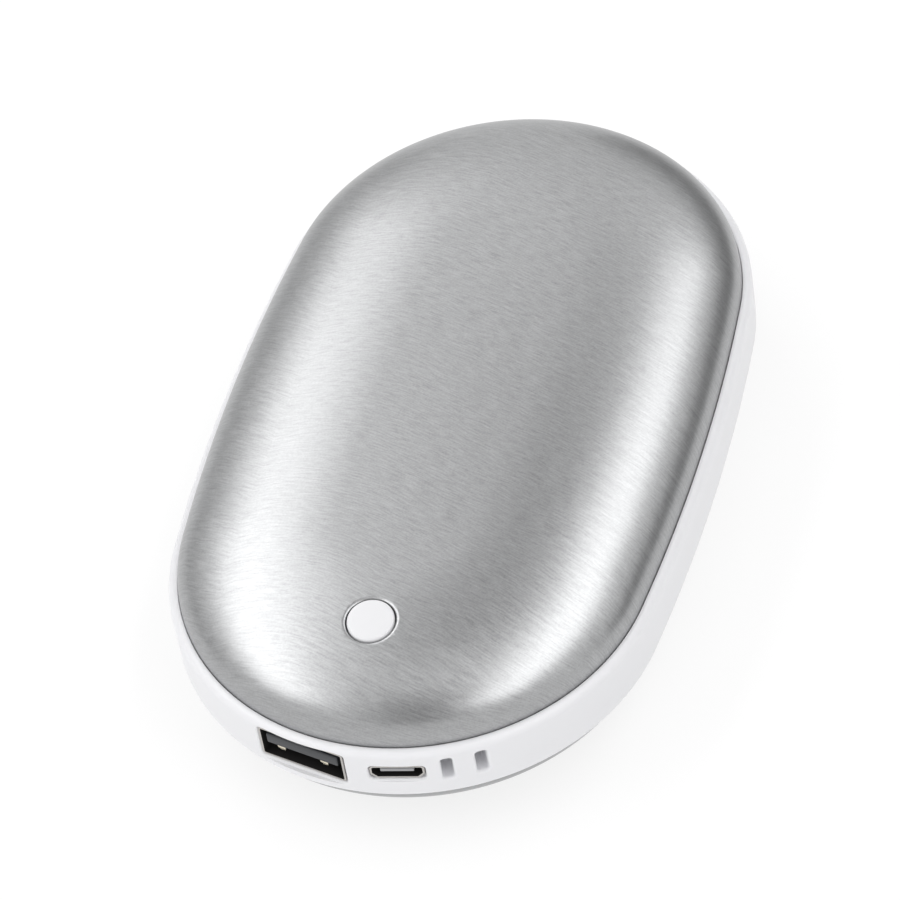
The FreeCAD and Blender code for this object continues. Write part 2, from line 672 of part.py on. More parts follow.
def on_board(place_shares):
    """Place on the board's top, as shares of its half width and of its depth from the front."""
    x_share, y_share = place_shares
    return Vector(x_share * board_half, board_front + y_share * BOARD_DEPTH, board_top)


def inductor():
    """Shielded coil: a rounded block with a smaller ferrite lid."""
    place = on_board(INDUCTOR_PLACE_SHARES)
    body_part = rounded_block(INDUCTOR_SIDE, INDUCTOR_SIDE, INDUCTOR_HEIGHT, INDUCTOR_CORNER, place)
    lid_place = place + Vector(0, 0, INDUCTOR_HEIGHT)
    lid = rounded_block(INDUCTOR_LID_SIDE, INDUCTOR_LID_SIDE, INDUCTOR_LID_HEIGHT, INDUCTOR_CORNER, lid_place)
    return fused([body_part, lid])


def control_chips():
    chips = []
    for place in CHIP_PLACE_SHARES:
        chips.append(rounded_block(CHIP_SIDE, CHIP_SIDE, CHIP_HEIGHT, CHIP_CORNER, on_board(place)))
    return Part.makeCompound(chips)


def capacitors():
    blocks = []
    for place in CAPACITOR_PLACE_SHARES:
        blocks.append(rounded_block(CAPACITOR_WIDTH, CAPACITOR_LENGTH, CAPACITOR_HEIGHT, CAPACITOR_CORNER,
                                    on_board(place)))
    return Part.makeCompound(blocks)


def indicator_leds():
    """Two lamps beside the switch that light the button from below."""
    lamps = []
    for side in (-1, 1):
        place = Vector(side * LED_PITCH / 2, button_y, board_top)
        lamps.append(rounded_block(LED_WIDTH, LED_LENGTH, LED_HEIGHT, LED_CORNER, place))
    return Part.makeCompound(lamps)


def switch_base():
    place = Vector(0, button_y, board_top)
    base = rounded_block(SWITCH_SIDE, SWITCH_SIDE, SWITCH_BASE_HEIGHT, SWITCH_CORNER, place)
    well_floor = Vector(0, button_y, switch_top - SWITCH_WELL_DEPTH)
    return base.cut(Part.makeCylinder(SWITCH_WELL_RADIUS, SWITCH_WELL_DEPTH, well_floor))


def switch_cover():
    place = Vector(0, button_y, switch_top)
    cover = rounded_block(SWITCH_SIDE, SWITCH_SIDE, SWITCH_COVER_SHEET, SWITCH_CORNER, place)
    return cover.cut(Part.makeCylinder(PLUNGER_RADIUS + SWITCH_RUN_GAP, SWITCH_COVER_SHEET, place))


def switch_legs():
    """Four solder legs that stand out of the switch's sides."""
    legs = []
    for side in (-1, 1):
        for end in (-1, 1):
            y = button_y + end * SWITCH_LEG_PITCH / 2
            low, high = sorted((side * SWITCH_SIDE / 2, side * (SWITCH_SIDE / 2 + SWITCH_LEG_REACH)))
            legs.append(box(low, high, y - SWITCH_LEG_WIDTH / 2, y + SWITCH_LEG_WIDTH / 2,
                            board_top, board_top + SWITCH_LEG_SHEET))
    return Part.makeCompound(legs)


def plunger_flange_bottom():
    return switch_top - PLUNGER_PLAY - PLUNGER_FLANGE_HEIGHT


def switch_plunger():
    bottom = plunger_flange_bottom()
    flange = Part.makeCylinder(PLUNGER_FLANGE_RADIUS, PLUNGER_FLANGE_HEIGHT, Vector(0, button_y, bottom))
    shaft = Part.makeCylinder(PLUNGER_RADIUS, plunger_top - bottom, Vector(0, button_y, bottom))
    return fused([flange, shaft])


def switch_dome():
    """Thin snap disc: a shallow arc turned about the plunger's axis."""
    rise = SWITCH_WELL_DEPTH - PLUNGER_PLAY - PLUNGER_FLANGE_HEIGHT - SNAP_DOME_SHEET
    floor = switch_top - SWITCH_WELL_DEPTH
    radius = (SNAP_DOME_RADIUS**2 + rise**2) / (2 * rise)
    centre = Vector(0, button_y, floor + rise - radius)
    disc = Part.makeSphere(radius, centre).cut(Part.makeSphere(radius - SNAP_DOME_SHEET, centre))
    keep = Part.makeCylinder(SWITCH_WELL_RADIUS, rise + SNAP_DOME_SHEET, Vector(0, button_y, floor))
    return disc.common(keep)


def battery_cell(side):
    """Round cell with a crimped groove and a raised cap at its front end."""
    radius = CELL_RADIUS
    groove = CELL_CAP_RISE + CELL_SHOULDER
    profile = [(0, 0), (CELL_CAP_RADIUS, 0), (CELL_CAP_RADIUS, CELL_CAP_RISE), (radius, CELL_CAP_RISE),
               (radius, groove), (radius - CELL_GROOVE_DEPTH, groove + CELL_GROOVE_WIDTH / 2),
               (radius, groove + CELL_GROOVE_WIDTH), (radius, cell_length), (0, cell_length), (0, 0)]
    face = Part.Face(Part.makePolygon([Vector(across, along, 0) for across, along in profile]))
    cell = face.revolve(Vector(), Y_AXIS, 360)
    cell.translate(Vector(side * cell_x, cell_front, middle))
    return cell


def battery_tab(front, notched):
    """Nickel strip welded across both cells' ends. The front one is notched for the other end's lead."""
    outline = rounded_rectangle(2 * (cell_x + TAB_OVERLAP), TAB_HEIGHT, TAB_CORNER)
    strip = along_y(outline, front, front + TAB_SHEET)
    if notched:
        top = TAB_HEIGHT / 2
        notch_half = TAB_NOTCH_WIDTH / 2
        notch = box(-notch_half, notch_half, front, front + TAB_SHEET, top - TAB_NOTCH_DEPTH, top)
        strip = strip.cut(notch)
    strip.translate(Vector(0, 0, middle))
    return strip


def lying_cylinder(radius, x, front, back):
    return Part.makeCylinder(radius, back - front, Vector(x, front, middle), Y_AXIS)


def tray_ear(x, y, turn):
    """Arm from the tray's rim to its screw lug."""
    reach = abs(x) - cell_x - trough_radius
    arm = box(-reach, 0, -LUG_RADIUS, LUG_RADIUS, 0, TRAY_EAR_SHEET)
    ear = fused([arm, Part.makeCylinder(LUG_RADIUS, TRAY_EAR_SHEET)])
    ear = ear.cut(Part.makeCylinder(SCREW_RADIUS + SCREW_FIT, TRAY_EAR_SHEET))
    ear.rotate(Vector(), Z_AXIS, turn)
    ear.translate(Vector(x, y, ear_bottom))
    return ear


def battery_tray():
    """Moulded cradle: two open troughs with end walls, heat windows, screw ears and a shelf for the board."""
    sides = (-1, 1)
    body = fused([lying_cylinder(tray_radius, side * cell_x, tray_front, tray_rear) for side in sides])
    upper_half = box(-half_width, half_width, tray_front, tray_rear, middle, body_height)
    ears = [tray_ear(x, y, turn) for x, y, turn in tray_screw_places()]
    shelf = box(-TRAY_SHELF_WIDTH / 2, TRAY_SHELF_WIDTH / 2, tray_front - TRAY_SHELF_REACH,
                tray_front + TRAY_END_WALL, board_bottom - TRAY_SHELF_SHEET, board_bottom)
    body = fused([body.cut(upper_half), shelf] + ears)
    window_length = TRAY_WINDOW_LENGTH_SHARE * tray_length
    window_reach = TRAY_WINDOW_PITCH_SHARE * tray_length / 2
    for side in sides:
        body = body.cut(lying_cylinder(trough_radius, side * cell_x, tray_front + TRAY_END_WALL,
                                       tray_rear - TRAY_END_WALL))
        for end in sides:
            place = Vector(side * cell_x, tray_centre + end * window_reach, 0)
            body = body.cut(rounded_block(TRAY_WINDOW_WIDTH, window_length, middle - CELL_RADIUS / 2,
                                          TRAY_WINDOW_CORNER, place))
    tab_half = cell_x + TAB_OVERLAP + TRAY_FIT
    tab_bottom = middle - TAB_HEIGHT / 2 - TRAY_FIT
    for front in (tray_front + TRAY_END_WALL, cell_rear):
        body = body.cut(box(-tab_half, tab_half, front, front + TRAY_END_SPACE, tab_bottom, middle))
    return body


def screw(place, direction):
    """Pan head screw, its shank running along direction from the head's seat."""
    shank = Part.makeCylinder(SCREW_RADIUS, SCREW_LENGTH, Vector())
    head = Part.makeCylinder(SCREW_HEAD_RADIUS, SCREW_HEAD_HEIGHT, Vector(), Vector(0, 0, -1))
    body = fused([shank, head])
    for turn in (0, 90):
        slot = box(-SCREW_RADIUS, SCREW_RADIUS, -SCREW_SOCKET_WIDTH / 2, SCREW_SOCKET_WIDTH / 2,
                   -SCREW_HEAD_HEIGHT, SCREW_SOCKET_DEPTH - SCREW_HEAD_HEIGHT)
        slot.rotate(Vector(), Z_AXIS, turn)
        body = body.cut(slot)
    if direction < 0:
        body.rotate(Vector(), X_AXIS, 180)
    body.translate(place)
    return body


def tray_screws():
    return Part.makeCompound([screw(Vector(x, y, middle), -1) for x, y, turn in tray_screw_places()])


def board_screws():
    return Part.makeCompound([screw(Vector(x, y, board_bottom), 1) for x, y, turn in board_screw_places()])


def upper_heating_film():
    return oval_prism(film_inset, upper_film_bottom, body_height - SHELL_WALL)


def lower_heating_film():
    return oval_prism(film_inset, SHELL_WALL, lower_film_top)


def foam_pad(bottom, top):
    pad = oval_prism(film_inset + FOAM_MARGIN, bottom, top)
    return pad.common(box(-half_width, half_width, cell_front, cell_rear, bottom, top))


def thermistors():
    """One bead on the inner face of each film, ahead of the foam."""
    upper_place = Vector(0, sensor_y, upper_film_bottom - SENSOR_HEIGHT)
    upper = Part.makeCylinder(SENSOR_RADIUS, SENSOR_HEIGHT, upper_place)
    lower = Part.makeCylinder(SENSOR_RADIUS, SENSOR_HEIGHT, Vector(0, sensor_y, lower_film_top))
    return Part.makeCompound([upper, lower])


def lead(points):
    """Insulated wire along straight runs joined by tangent arcs."""
    edges = []
    start = points[0]
    for before, corner, after in zip(points, points[1:], points[2:]):
        back = (before - corner).normalize()
        ahead = (after - corner).normalize()
        half_turn = (math.pi - back.getAngle(ahead)) / 2
        setback = LEAD_BEND * math.tan(half_turn)
        inward = (back + ahead).normalize()
        crest = corner + inward * (LEAD_BEND / math.cos(half_turn) - LEAD_BEND)
        arc_start = corner + back * setback
        arc_end = corner + ahead * setback
        edges.append(Part.LineSegment(start, arc_start).toShape())
        edges.append(Part.Arc(arc_start, crest, arc_end).toShape())
        start = arc_end
    edges.append(Part.LineSegment(start, points[-1]).toShape())
    path = Part.Wire(edges)
    ring = Part.Wire([Part.makeCircle(LEAD_DIAMETER / 2, points[0], points[1] - points[0])])
    return path.makePipeShell([ring], True, False)


def battery_lead(x, start_y):
    """Lead from a tab forward over the tray's end and down to the board."""
    end_y = board_rear - BATTERY_LEAD_REACH
    return lead([Vector(x, start_y, battery_lead_level), Vector(x, end_y, battery_lead_level),
                 Vector(x, end_y, board_top)])


def heater_leads(film_level, board_level):
    """Pair of leads from a film to the board, with a slack bend on the way."""
    film_y = film_front + HEATER_LEAD_INSIDE
    board_y = film_y - HEATER_LEAD_JOG
    rise = film_level - board_level
    upper_share, lower_share = HEATER_LEAD_JOG_SHARES
    jog_start = film_level - rise * upper_share
    jog_end = film_level - rise * lower_share
    pair = []
    for side in (-1, 1):
        x = side * HEATER_LEAD_PITCH / 2
        pair.append(lead([Vector(x, film_y, film_level), Vector(x, film_y, jog_start),
                          Vector(x, board_y, jog_end), Vector(x, board_y, board_level)]))
    return Part.makeCompound(pair)


PIECES = {
    "middle_frame": middle_frame(),
    "upper_shell": upper_shell(),
    "lower_shell": to_lower_half(shell()),
    "upper_gasket": gasket(),
    "lower_gasket": to_lower_half(gasket()),
    "power_button": power_button(),
    "button_guide": button_guide(),
    "usb_a_shell": usb_a_shell(),
    "usb_a_tongue": usb_a_tongue(),
    "usb_a_contacts": usb_a_contacts(),
    "micro_usb_shell": micro_usb_shell(),
    "micro_usb_tongue": micro_usb_tongue(),
    "micro_usb_contacts": micro_usb_contacts(),
    "circuit_board": circuit_board(),
    "board_screws": board_screws(),
    "inductor": inductor(),
    "control_chips": control_chips(),
    "capacitors": capacitors(),
    "indicator_leds": indicator_leds(),
    "switch_base": switch_base(),
    "switch_cover": switch_cover(),
    "switch_legs": switch_legs(),
    "switch_plunger": switch_plunger(),
    "switch_dome": switch_dome(),
    "battery_cell_left": battery_cell(-1),
    "battery_cell_right": battery_cell(1),
    "battery_tab_front": battery_tab(cell_front - TAB_SHEET, True),
    "battery_tab_rear": battery_tab(cell_rear, False),
    "battery_tray": battery_tray(),
    "tray_screws": tray_screws(),
    "upper_heating_film": upper_heating_film(),
    "lower_heating_film": lower_heating_film(),
    "upper_foam_pad": foam_pad(middle + CELL_RADIUS + FOAM_FIT, upper_film_bottom),
    "lower_foam_pad": foam_pad(lower_film_top, middle - tray_radius - FOAM_FIT),
    "thermistors": thermistors(),
    "upper_heater_leads": heater_leads(upper_film_bottom, board_top),
    "lower_heater_leads": heater_leads(lower_film_top, board_bottom),
    "battery_lead_positive": battery_lead(-BATTERY_LEAD_OFFSET, cell_front - TAB_SHEET),
    "battery_lead_negative": battery_lead(0, cell_rear),
}

os.makedirs("parts", exist_ok=True)
for name, shape in PIECES.items():
    shape.exportStep("parts/" + name + ".step")
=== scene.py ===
import math

import bmesh
import bpy
from bpy.props import FloatProperty, FloatVectorProperty, PointerProperty
from bpy.types import Operator, Panel, PropertyGroup
from mathutils import Matrix, Vector


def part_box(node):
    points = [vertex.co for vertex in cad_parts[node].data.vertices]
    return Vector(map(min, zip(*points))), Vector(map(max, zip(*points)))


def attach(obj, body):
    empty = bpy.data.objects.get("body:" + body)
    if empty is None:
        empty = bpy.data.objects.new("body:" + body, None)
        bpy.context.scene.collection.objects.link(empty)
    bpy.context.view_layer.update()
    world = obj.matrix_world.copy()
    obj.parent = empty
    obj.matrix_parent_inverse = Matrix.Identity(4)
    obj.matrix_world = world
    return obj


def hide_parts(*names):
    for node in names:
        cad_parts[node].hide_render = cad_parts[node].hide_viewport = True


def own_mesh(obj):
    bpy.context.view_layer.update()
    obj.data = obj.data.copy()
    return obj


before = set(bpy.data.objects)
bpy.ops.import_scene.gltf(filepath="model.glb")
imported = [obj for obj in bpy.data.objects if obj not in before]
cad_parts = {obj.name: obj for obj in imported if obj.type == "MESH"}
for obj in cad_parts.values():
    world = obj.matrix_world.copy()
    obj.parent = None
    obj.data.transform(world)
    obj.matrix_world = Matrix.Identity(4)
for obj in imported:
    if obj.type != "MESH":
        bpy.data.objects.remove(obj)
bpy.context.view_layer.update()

bl_info = {
    "name": "Hand warmer",
    "version": (1, 0, 0),
    "blender": (4, 5, 0),
    "location": "View3D > Sidebar > Hand warmer",
    "description": "Builds a rechargeable hand warmer and its studio round the packed frame",
    "category": "Add Mesh",
}

band_low, band_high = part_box("middle_frame")
_, crown_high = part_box("upper_shell")
screws_low, screws_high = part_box("tray_screws")
_, board_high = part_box("circuit_board")

MM = 0.001
END_STEPS = 104
SIDE_STEPS = 8
CROWN_ROWS = 44
INNER_ROWS = 24
ROUND_STEPS = 96
CORNER_STEPS = 6
LIP_STEPS = 12
CAP_ROWS = 9
DISC_STEPS = 12
MOUTH_TURNS = [math.radians(angle) for angle in (15, 30, 45, 60, 75, 90)]
HOLE_TURNS = [math.radians(angle) for angle in (8, 20, 35, 50, 65, 80, 90)]
CAP_TURNS = [math.radians(angle) for angle in range(0, 91, 15)]
SMOOTH_ANGLE = math.radians(32)
WELD = 0.000002
OVERRUN = 0.001
LUG_CLEAR = 0.00002

# Small forms of the sockets, the cord's channel and the button, in metres
USB_A_CORNER = 0.0005
USB_A_PORT_CORNER = 0.0006
USB_A_BLOCK_CORNER = 0.0002
USB_A_TONGUE_EDGE = 0.00022
WINDOW_OFFSET = 0.0028
WINDOW_HALF_WIDTH = 0.001
WINDOW_HALF_LENGTH = 0.0013
EAR_REACH = 0.00155  # from the middle of the sheet's wall
EAR_LENGTH = 0.0014
EAR_PITCH = 0.0023
MICRO_CHAMFER = 0.0009
MICRO_TOP_CHAMFER = 0.00035
MICRO_PORT_CORNER = 0.0007
MICRO_TONGUE_EDGE = 0.00008
MICRO_CONTACT_PITCH = 0.00065
MICRO_CONTACT_WIDTH = 0.00035
MICRO_CONTACT_SHEET = 0.00015
CHANNEL_MARGIN = 0.00025
FLANGE_MARGIN = 0.0002
CAP_TOP_DEPTH = 1.5  # of the cap's edge rounding
NOSE_TIP = 0.6  # of a blade's width

# Soft lamps: name, place, width and height, and a side lamp's share of the set power
SIDE_LAMPS = (
    ("left_lamp", (-0.478, 0.038, 0.603), 1.2, 0.31, 1.02),
    ("right_lamp", (0.34, 0.08, 0.6), 1.2, 0.28, 0.85),
)
FRONT_LAMP = ("front_lamp", (-0.1, -1.3, 0.4), 1.4, 0.7)

# Cards for the metal to reflect: name, place, width, height and grey tone
CARDS = (
    ("right_flag", (0.135, 0.16, 0.045), 0.44, 0.095, 0.28),
    ("left_flag", (-0.47, 0.17, 0.1), 0.9, 0.22, 0.7),
    ("front_flag", (0.14, -0.6, 0.72), 0.46, 0.76, 0.36),
    ("top_flag", (-0.012, 0.078, 0.22), 0.11, 0.17, 0.46),
)
WHITE = (1, 1, 1, 1)
WORLD_FILL = 0.45
FLOOR_GLOW = 0.64
FLOOR_SEEN_GLOW = 0.13
AIM_LEFT = 0.00266
AIM_DOWN = 0.000874

# Moulded plastic: scale of its clouds, swing of its roughness, and its plain grain
CLOUD_SCALE = 140.0
PLASTIC_SWING = 0.06
PLAIN_GRAIN = 9000.0
PLAIN_DEPTH = 0.000004
GRAIN_STRENGTH = 0.35

# Sheet metal: streaks, patches of polish, darkest and lightest tone, swing of its roughness, and relief
STREAK_SCALES = (600.0, 600.0, 6000.0)
PATCH_SCALE = 300.0
SHEET_TONES = (0.85, 1.12)
SHEET_SWING = 0.08
SHEET_DEPTH = 0.000004
SHEET_STRENGTH = 0.3

# Brushed lines: slope over the body, arch at its left side, wavers as scale and reach, fineness and tones
LINE_SLOPE = 0.34
ARCH_START = -0.003
ARCH_RUN = 0.02
ARCH_RISE = 0.0125
WAVERS = ((420.0, 0.0004), (90.0, 0.0012))
LINE_SCALES = (420.0, 4000.0, 300.0)
BROAD_SCALES = (60.0, 700.0, 40.0)
BROAD_SHARE = 0.3
SPECK_SCALE = 3600.0
SPECK_SHARE = 0.32
LINE_TONES = (0.46, 1.54)
LINE_ROUGH = 0.34
LINE_SWING = 0.06
LINE_DEPTH = 0.00001
LINE_STRENGTH = 0.5

# Inner parts of plastic or resin: finish, colour, roughness, mottling, grain, its depth, and the CAD nodes
INNER_PLASTICS = (
    ("green board laminate", (0.02, 0.17, 0.07), 0.35, 0.2, 2500.0, PLAIN_DEPTH, ["circuit_board"]),
    ("ferrite", (0.06, 0.06, 0.065), 0.7, 0.2, 3500.0, 0.00001, ["inductor"]),
    ("chip resin", (0.02, 0.02, 0.022), 0.5, 0.15, 5000.0, PLAIN_DEPTH,
     ["control_chips", "switch_base", "switch_plunger"]),
    ("capacitor ceramic", (0.42, 0.3, 0.18), 0.45, 0.12, PLAIN_GRAIN, PLAIN_DEPTH, ["capacitors"]),
    ("lamp resin", (0.85, 0.8, 0.6), 0.25, 0.05, PLAIN_GRAIN, PLAIN_DEPTH, ["indicator_leds"]),
    ("cell wrap", (0.02, 0.14, 0.34), 0.3, 0.08, 900.0, PLAIN_DEPTH,
     ["battery_cell_left", "battery_cell_right"]),
    ("tray plastic", (0.06, 0.06, 0.065), 0.5, 0.1, PLAIN_GRAIN, PLAIN_DEPTH,
     ["battery_tray", "button_guide"]),
    ("heater film", (0.5, 0.24, 0.05), 0.3, 0.18, 1500.0, PLAIN_DEPTH,
     ["upper_heating_film", "lower_heating_film"]),
    ("foam", (0.05, 0.05, 0.052), 0.9, 0.3, 2600.0, 0.0001,
     ["upper_foam_pad", "lower_foam_pad", "upper_gasket", "lower_gasket"]),
    ("sensor resin", (0.02, 0.03, 0.05), 0.35, 0.1, PLAIN_GRAIN, PLAIN_DEPTH, ["thermistors"]),
    ("red lead", (0.5, 0.02, 0.015), 0.45, 0.08, PLAIN_GRAIN, PLAIN_DEPTH, ["battery_lead_positive"]),
    ("black lead", (0.02, 0.02, 0.02), 0.45, 0.1, PLAIN_GRAIN, PLAIN_DEPTH, ["battery_lead_negative"]),
    ("white lead", (0.75, 0.74, 0.7), 0.45, 0.05, PLAIN_GRAIN, PLAIN_DEPTH,
     ["upper_heater_leads", "lower_heater_leads"]),
)


def size(name, text, default):
    return FloatProperty(name=name, description=text, default=default, min=0, precision=5, unit="LENGTH")


def share(name, text, default):
    return FloatProperty(name=name, description=text, default=default, min=0, max=10, subtype="FACTOR")


def turn(name, text, default):
    return FloatProperty(name=name, description=text, default=math.radians(default), subtype="ANGLE")


def colour(name, text, default):
    return FloatVectorProperty(
        name=name, description=text, default=default, size=3, min=0, max=1, subtype="COLOR")


def watts(name, text, default):
    return FloatProperty(name=name, description=text, default=default, min=0, unit="POWER")


class BodySizes(PropertyGroup):
    width: size("Width", "Widest outline of the band, across", band_high.x - band_low.x)
    length: size("Length", "Widest outline of the band, lengthways", band_high.y - band_low.y)
    side_radius: size("Side radius", "Radius of the long sides of the outline", 0.3)
    band_height: size("Band height", "Height of the plastic band", band_high.z - band_low.z)
    crown_rise: size("Crown rise", "Height of each shell over the band", crown_high.z - band_high.z)
    crown_flat: share("Crown flat", "Flat top of the crown as a share of the width", 0.2834)
    crown_fullness: share("Crown fullness", "Exponent of the crown's section; 2 is an ellipse", 2.3)
    lip_radius: size("Lip radius", "Rounding of the band's outer edges", 0.0012)
    lip_land: size("Lip land", "Flat rim between the rounding and the seat", 0.00015)
    band_wall: size("Band wall", "Wall of the band", 0.0034)
    seat_depth: size("Seat depth", "Depth of the seat that takes a shell's rim", 0.00055)
    shell_seam: size("Seam", "Gap between a shell's rim and the band", 0.0001)
    shell_wall: size("Shell wall", "Thickness of the drawn shells", 0.0008)
    shell_tuck: size("Shell tuck", "Length of a shell's rim below the band's edge", 0.00035)
    lug_radius: size("Lug radius", "Radius of the band's screw lugs", 0.003)
    lug_reach: size("Lug reach", "Screw axis to the band's inner wall", 0.0036)
    lug_hole: size("Lug hole", "Radius of a screw hole", 0.001)
    screw_head: size("Screw head", "Radius of a screw's head", 0.0018)
    tray_ear: size("Tray ear", "Thickness of the tray's ears, down from the middle of the band", 0.0016)
    board_lug_turn: turn("Board lug turn", "Place of the board's lugs round the end", 58)
    board_lug_height: size("Board lug height", "Height of the board's lugs", 0.0024)


class ButtonSizes(PropertyGroup):
    setback: size("Setback", "Centre of the button, in from the front end", 0.0164)
    radius: size("Radius", "Radius of the cap", 0.0033)
    gap: size("Gap", "Gap between the cap and its hole", 0.0002)
    proud: size("Proud", "How far the cap stands over the crown", 0.00015)
    edge: size("Edge", "Rounding of the cap's upper edge", 0.0003)
    hole_edge: size("Hole edge", "Width of the drawn edge of the hole in the shell", 0.0005)
    hole_sink: size("Hole sink", "Depth of the drawn edge of the hole in the shell", 0.00022)
    flange_radius: size("Flange", "Radius of the flange that keeps the cap in", 0.0044)
    flange_height: size("Flange height", "Thickness of the flange", 0.001)
    stem_radius: size("Stem", "Radius of the stem over the switch", 0.0015)
    disc_sheet: size("Snap disc", "Thickness of the switch's snap disc", 0.0001)
    disc_pressed: share("Snap disc pressed", "Height of the pressed snap disc as a share of its own", 0.6)


class SocketSizes(PropertyGroup):
    port_rise: size("Port rise", "Centre of the sockets over the middle of the band", 0.0006)
    port_gap: size("Port gap", "Gap between a socket and its opening", 0.00012)
    port_edge: size("Port edge", "Rounding of the openings' outer edges", 0.00045)
    usb_a_turn: turn("USB-A turn", "Place of the USB-A socket round the end", -11.9)
    usb_a_width: size("USB-A width", "Outside width of the USB-A sheet", 0.0131)
    usb_a_height: size("USB-A height", "Outside height of the USB-A sheet", 0.0057)
    usb_a_length: size("USB-A length", "Depth of the USB-A sheet", 0.0105)
    usb_a_sheet: size("USB-A sheet", "Thickness of the USB-A sheet", 0.0003)
    usb_a_recess: size("USB-A recess", "How far the USB-A sheet sits behind the wall", 0.0008)
    usb_a_tongue: size("USB-A tongue", "Width of the USB-A tongue", 0.0111)
    usb_a_tongue_sheet: size("USB-A tongue sheet", "Thickness of the USB-A tongue", 0.00185)
    usb_a_tongue_drop: size("USB-A tongue drop", "Gap between the tongue and the sheet above it", 0.00085)
    usb_a_tongue_setback: size("USB-A tongue setback", "Tongue's front behind the sheet's", 0.0001)
    usb_a_back: size("USB-A back", "Depth of the block at the socket's back", 0.0014)
    blade_pitch: size("Blade pitch", "Distance between the two contact blades", 0.00666)
    blade_width: size("Blade width", "Width of a contact blade", 0.0012)
    blade_sheet: size("Blade sheet", "Thickness of a contact blade", 0.00025)
    blade_nose: size("Blade nose", "How far a blade's nose hangs under the tongue", 0.0011)
    blade_nose_length: size("Blade nose length", "Length of a blade's nose", 0.0005)
    blade_setback: size("Blade setback", "Nose behind the tongue's front", 0.00005)
    blade_foot: size("Blade foot", "Length of a blade's foot on the board", 0.0012)
    micro_turn: turn("Micro turn", "Place of the micro socket round the end", 11.2)
    micro_width: size("Micro width", "Outside width of the micro sheet", 0.0075)
    micro_height: size("Micro height", "Outside height of the micro sheet", 0.0025)
    micro_length: size("Micro length", "Depth of the micro sheet", 0.0056)
    micro_sheet: size("Micro sheet", "Thickness of the micro sheet", 0.0003)
    micro_recess: size("Micro recess", "How far the micro sheet sits behind the wall", 0.0004)
    micro_tongue: size("Micro tongue", "Width of the micro tongue", 0.0046)
    micro_tongue_sheet: size("Micro tongue sheet", "Thickness of the micro tongue", 0.0006)
    micro_tongue_drop: size("Micro tongue drop", "Gap between the tongue and the sheet above it", 0.0003)
    micro_tongue_setback: size("Micro tongue setback", "Tongue's front behind the sheet's", 0.0001)
    micro_back: size("Micro back", "Depth of the block at the socket's back", 0.0012)
    socket_fit: size("Socket fit", "Gap between an insert's block and its sheet", 0.00005)
    slot_turn: turn("Slot turn", "Place of the cord slots round the end", 26.495)
    slot_pitch: size("Slot pitch", "Distance between the cord slots", 0.0048)
    slot_width: size("Slot width", "Width of a cord slot", 0.0016)
    slot_height: size("Slot height", "Height of a cord slot", 0.0041)
    slot_corner: size("Slot corner", "Rounding of a cord slot's corners", 0.0005)
    cord_bar: size("Cord bar", "Depth of the bar between the slots", 0.0018)
    cord_back: size("Cord back", "Depth of the channel behind the bar", 0.004)
    cord_wall: size("Cord wall", "Wall round the cord's slots and channel", 0.0009)
    slot_rise: size("Slot rise", "Centre of the slots over the middle of the band", 0.0008)


class Finishes(PropertyGroup):
    aluminium: colour("Aluminium", "Brushed shells", (0.38, 0.383, 0.388))
    band: colour("Band", "White moulded band", (0.86, 0.86, 0.88))
    button: colour("Button", "White button", (0.79, 0.79, 0.805))
    steel: colour("Steel", "Socket sheets, switch cover and snap disc", (0.5, 0.48, 0.46))
    # Socket inside is painted shade: the steel sheets' inner faces are coloured near-black for the shade
    # inside the sockets
    inside: colour("Socket inside", "Dull black inner faces of the socket sheets", (0.012, 0.011, 0.011))
    socket_black: colour("Black insert", "Insert of the USB-A socket", (0.035, 0.037, 0.042))
    socket_grey: colour("Grey insert", "Insert of the micro socket", (0.35, 0.35, 0.36))
    contact: colour("Contacts", "Plated contacts", (0.95, 0.84, 0.68))
    floor: colour("Floor", "Studio floor", (0.25, 0.25, 0.25))


class StudioSettings(PropertyGroup):
    azimuth: turn("Azimuth", "Camera's place round the object", 23.442)
    elevation: turn("Elevation", "Camera's height over the horizon", 48.232)
    roll: turn("Roll", "Camera's turn about its own axis", -10.015)
    distance: size("Distance", "Camera to its target", 0.712213)
    lens: FloatProperty(name="Lens", description="Focal length", default=200, min=1, unit="CAMERA")
    strips: watts("Side lamps", "Power that each side lamp takes its share of", 2.9)
    front: watts("Front lamp", "Power of the front lamp", 4.0)


def body_sizes():
    return bpy.context.scene.hand_warmer_body


def finishes():
    return bpy.context.scene.hand_warmer_finishes


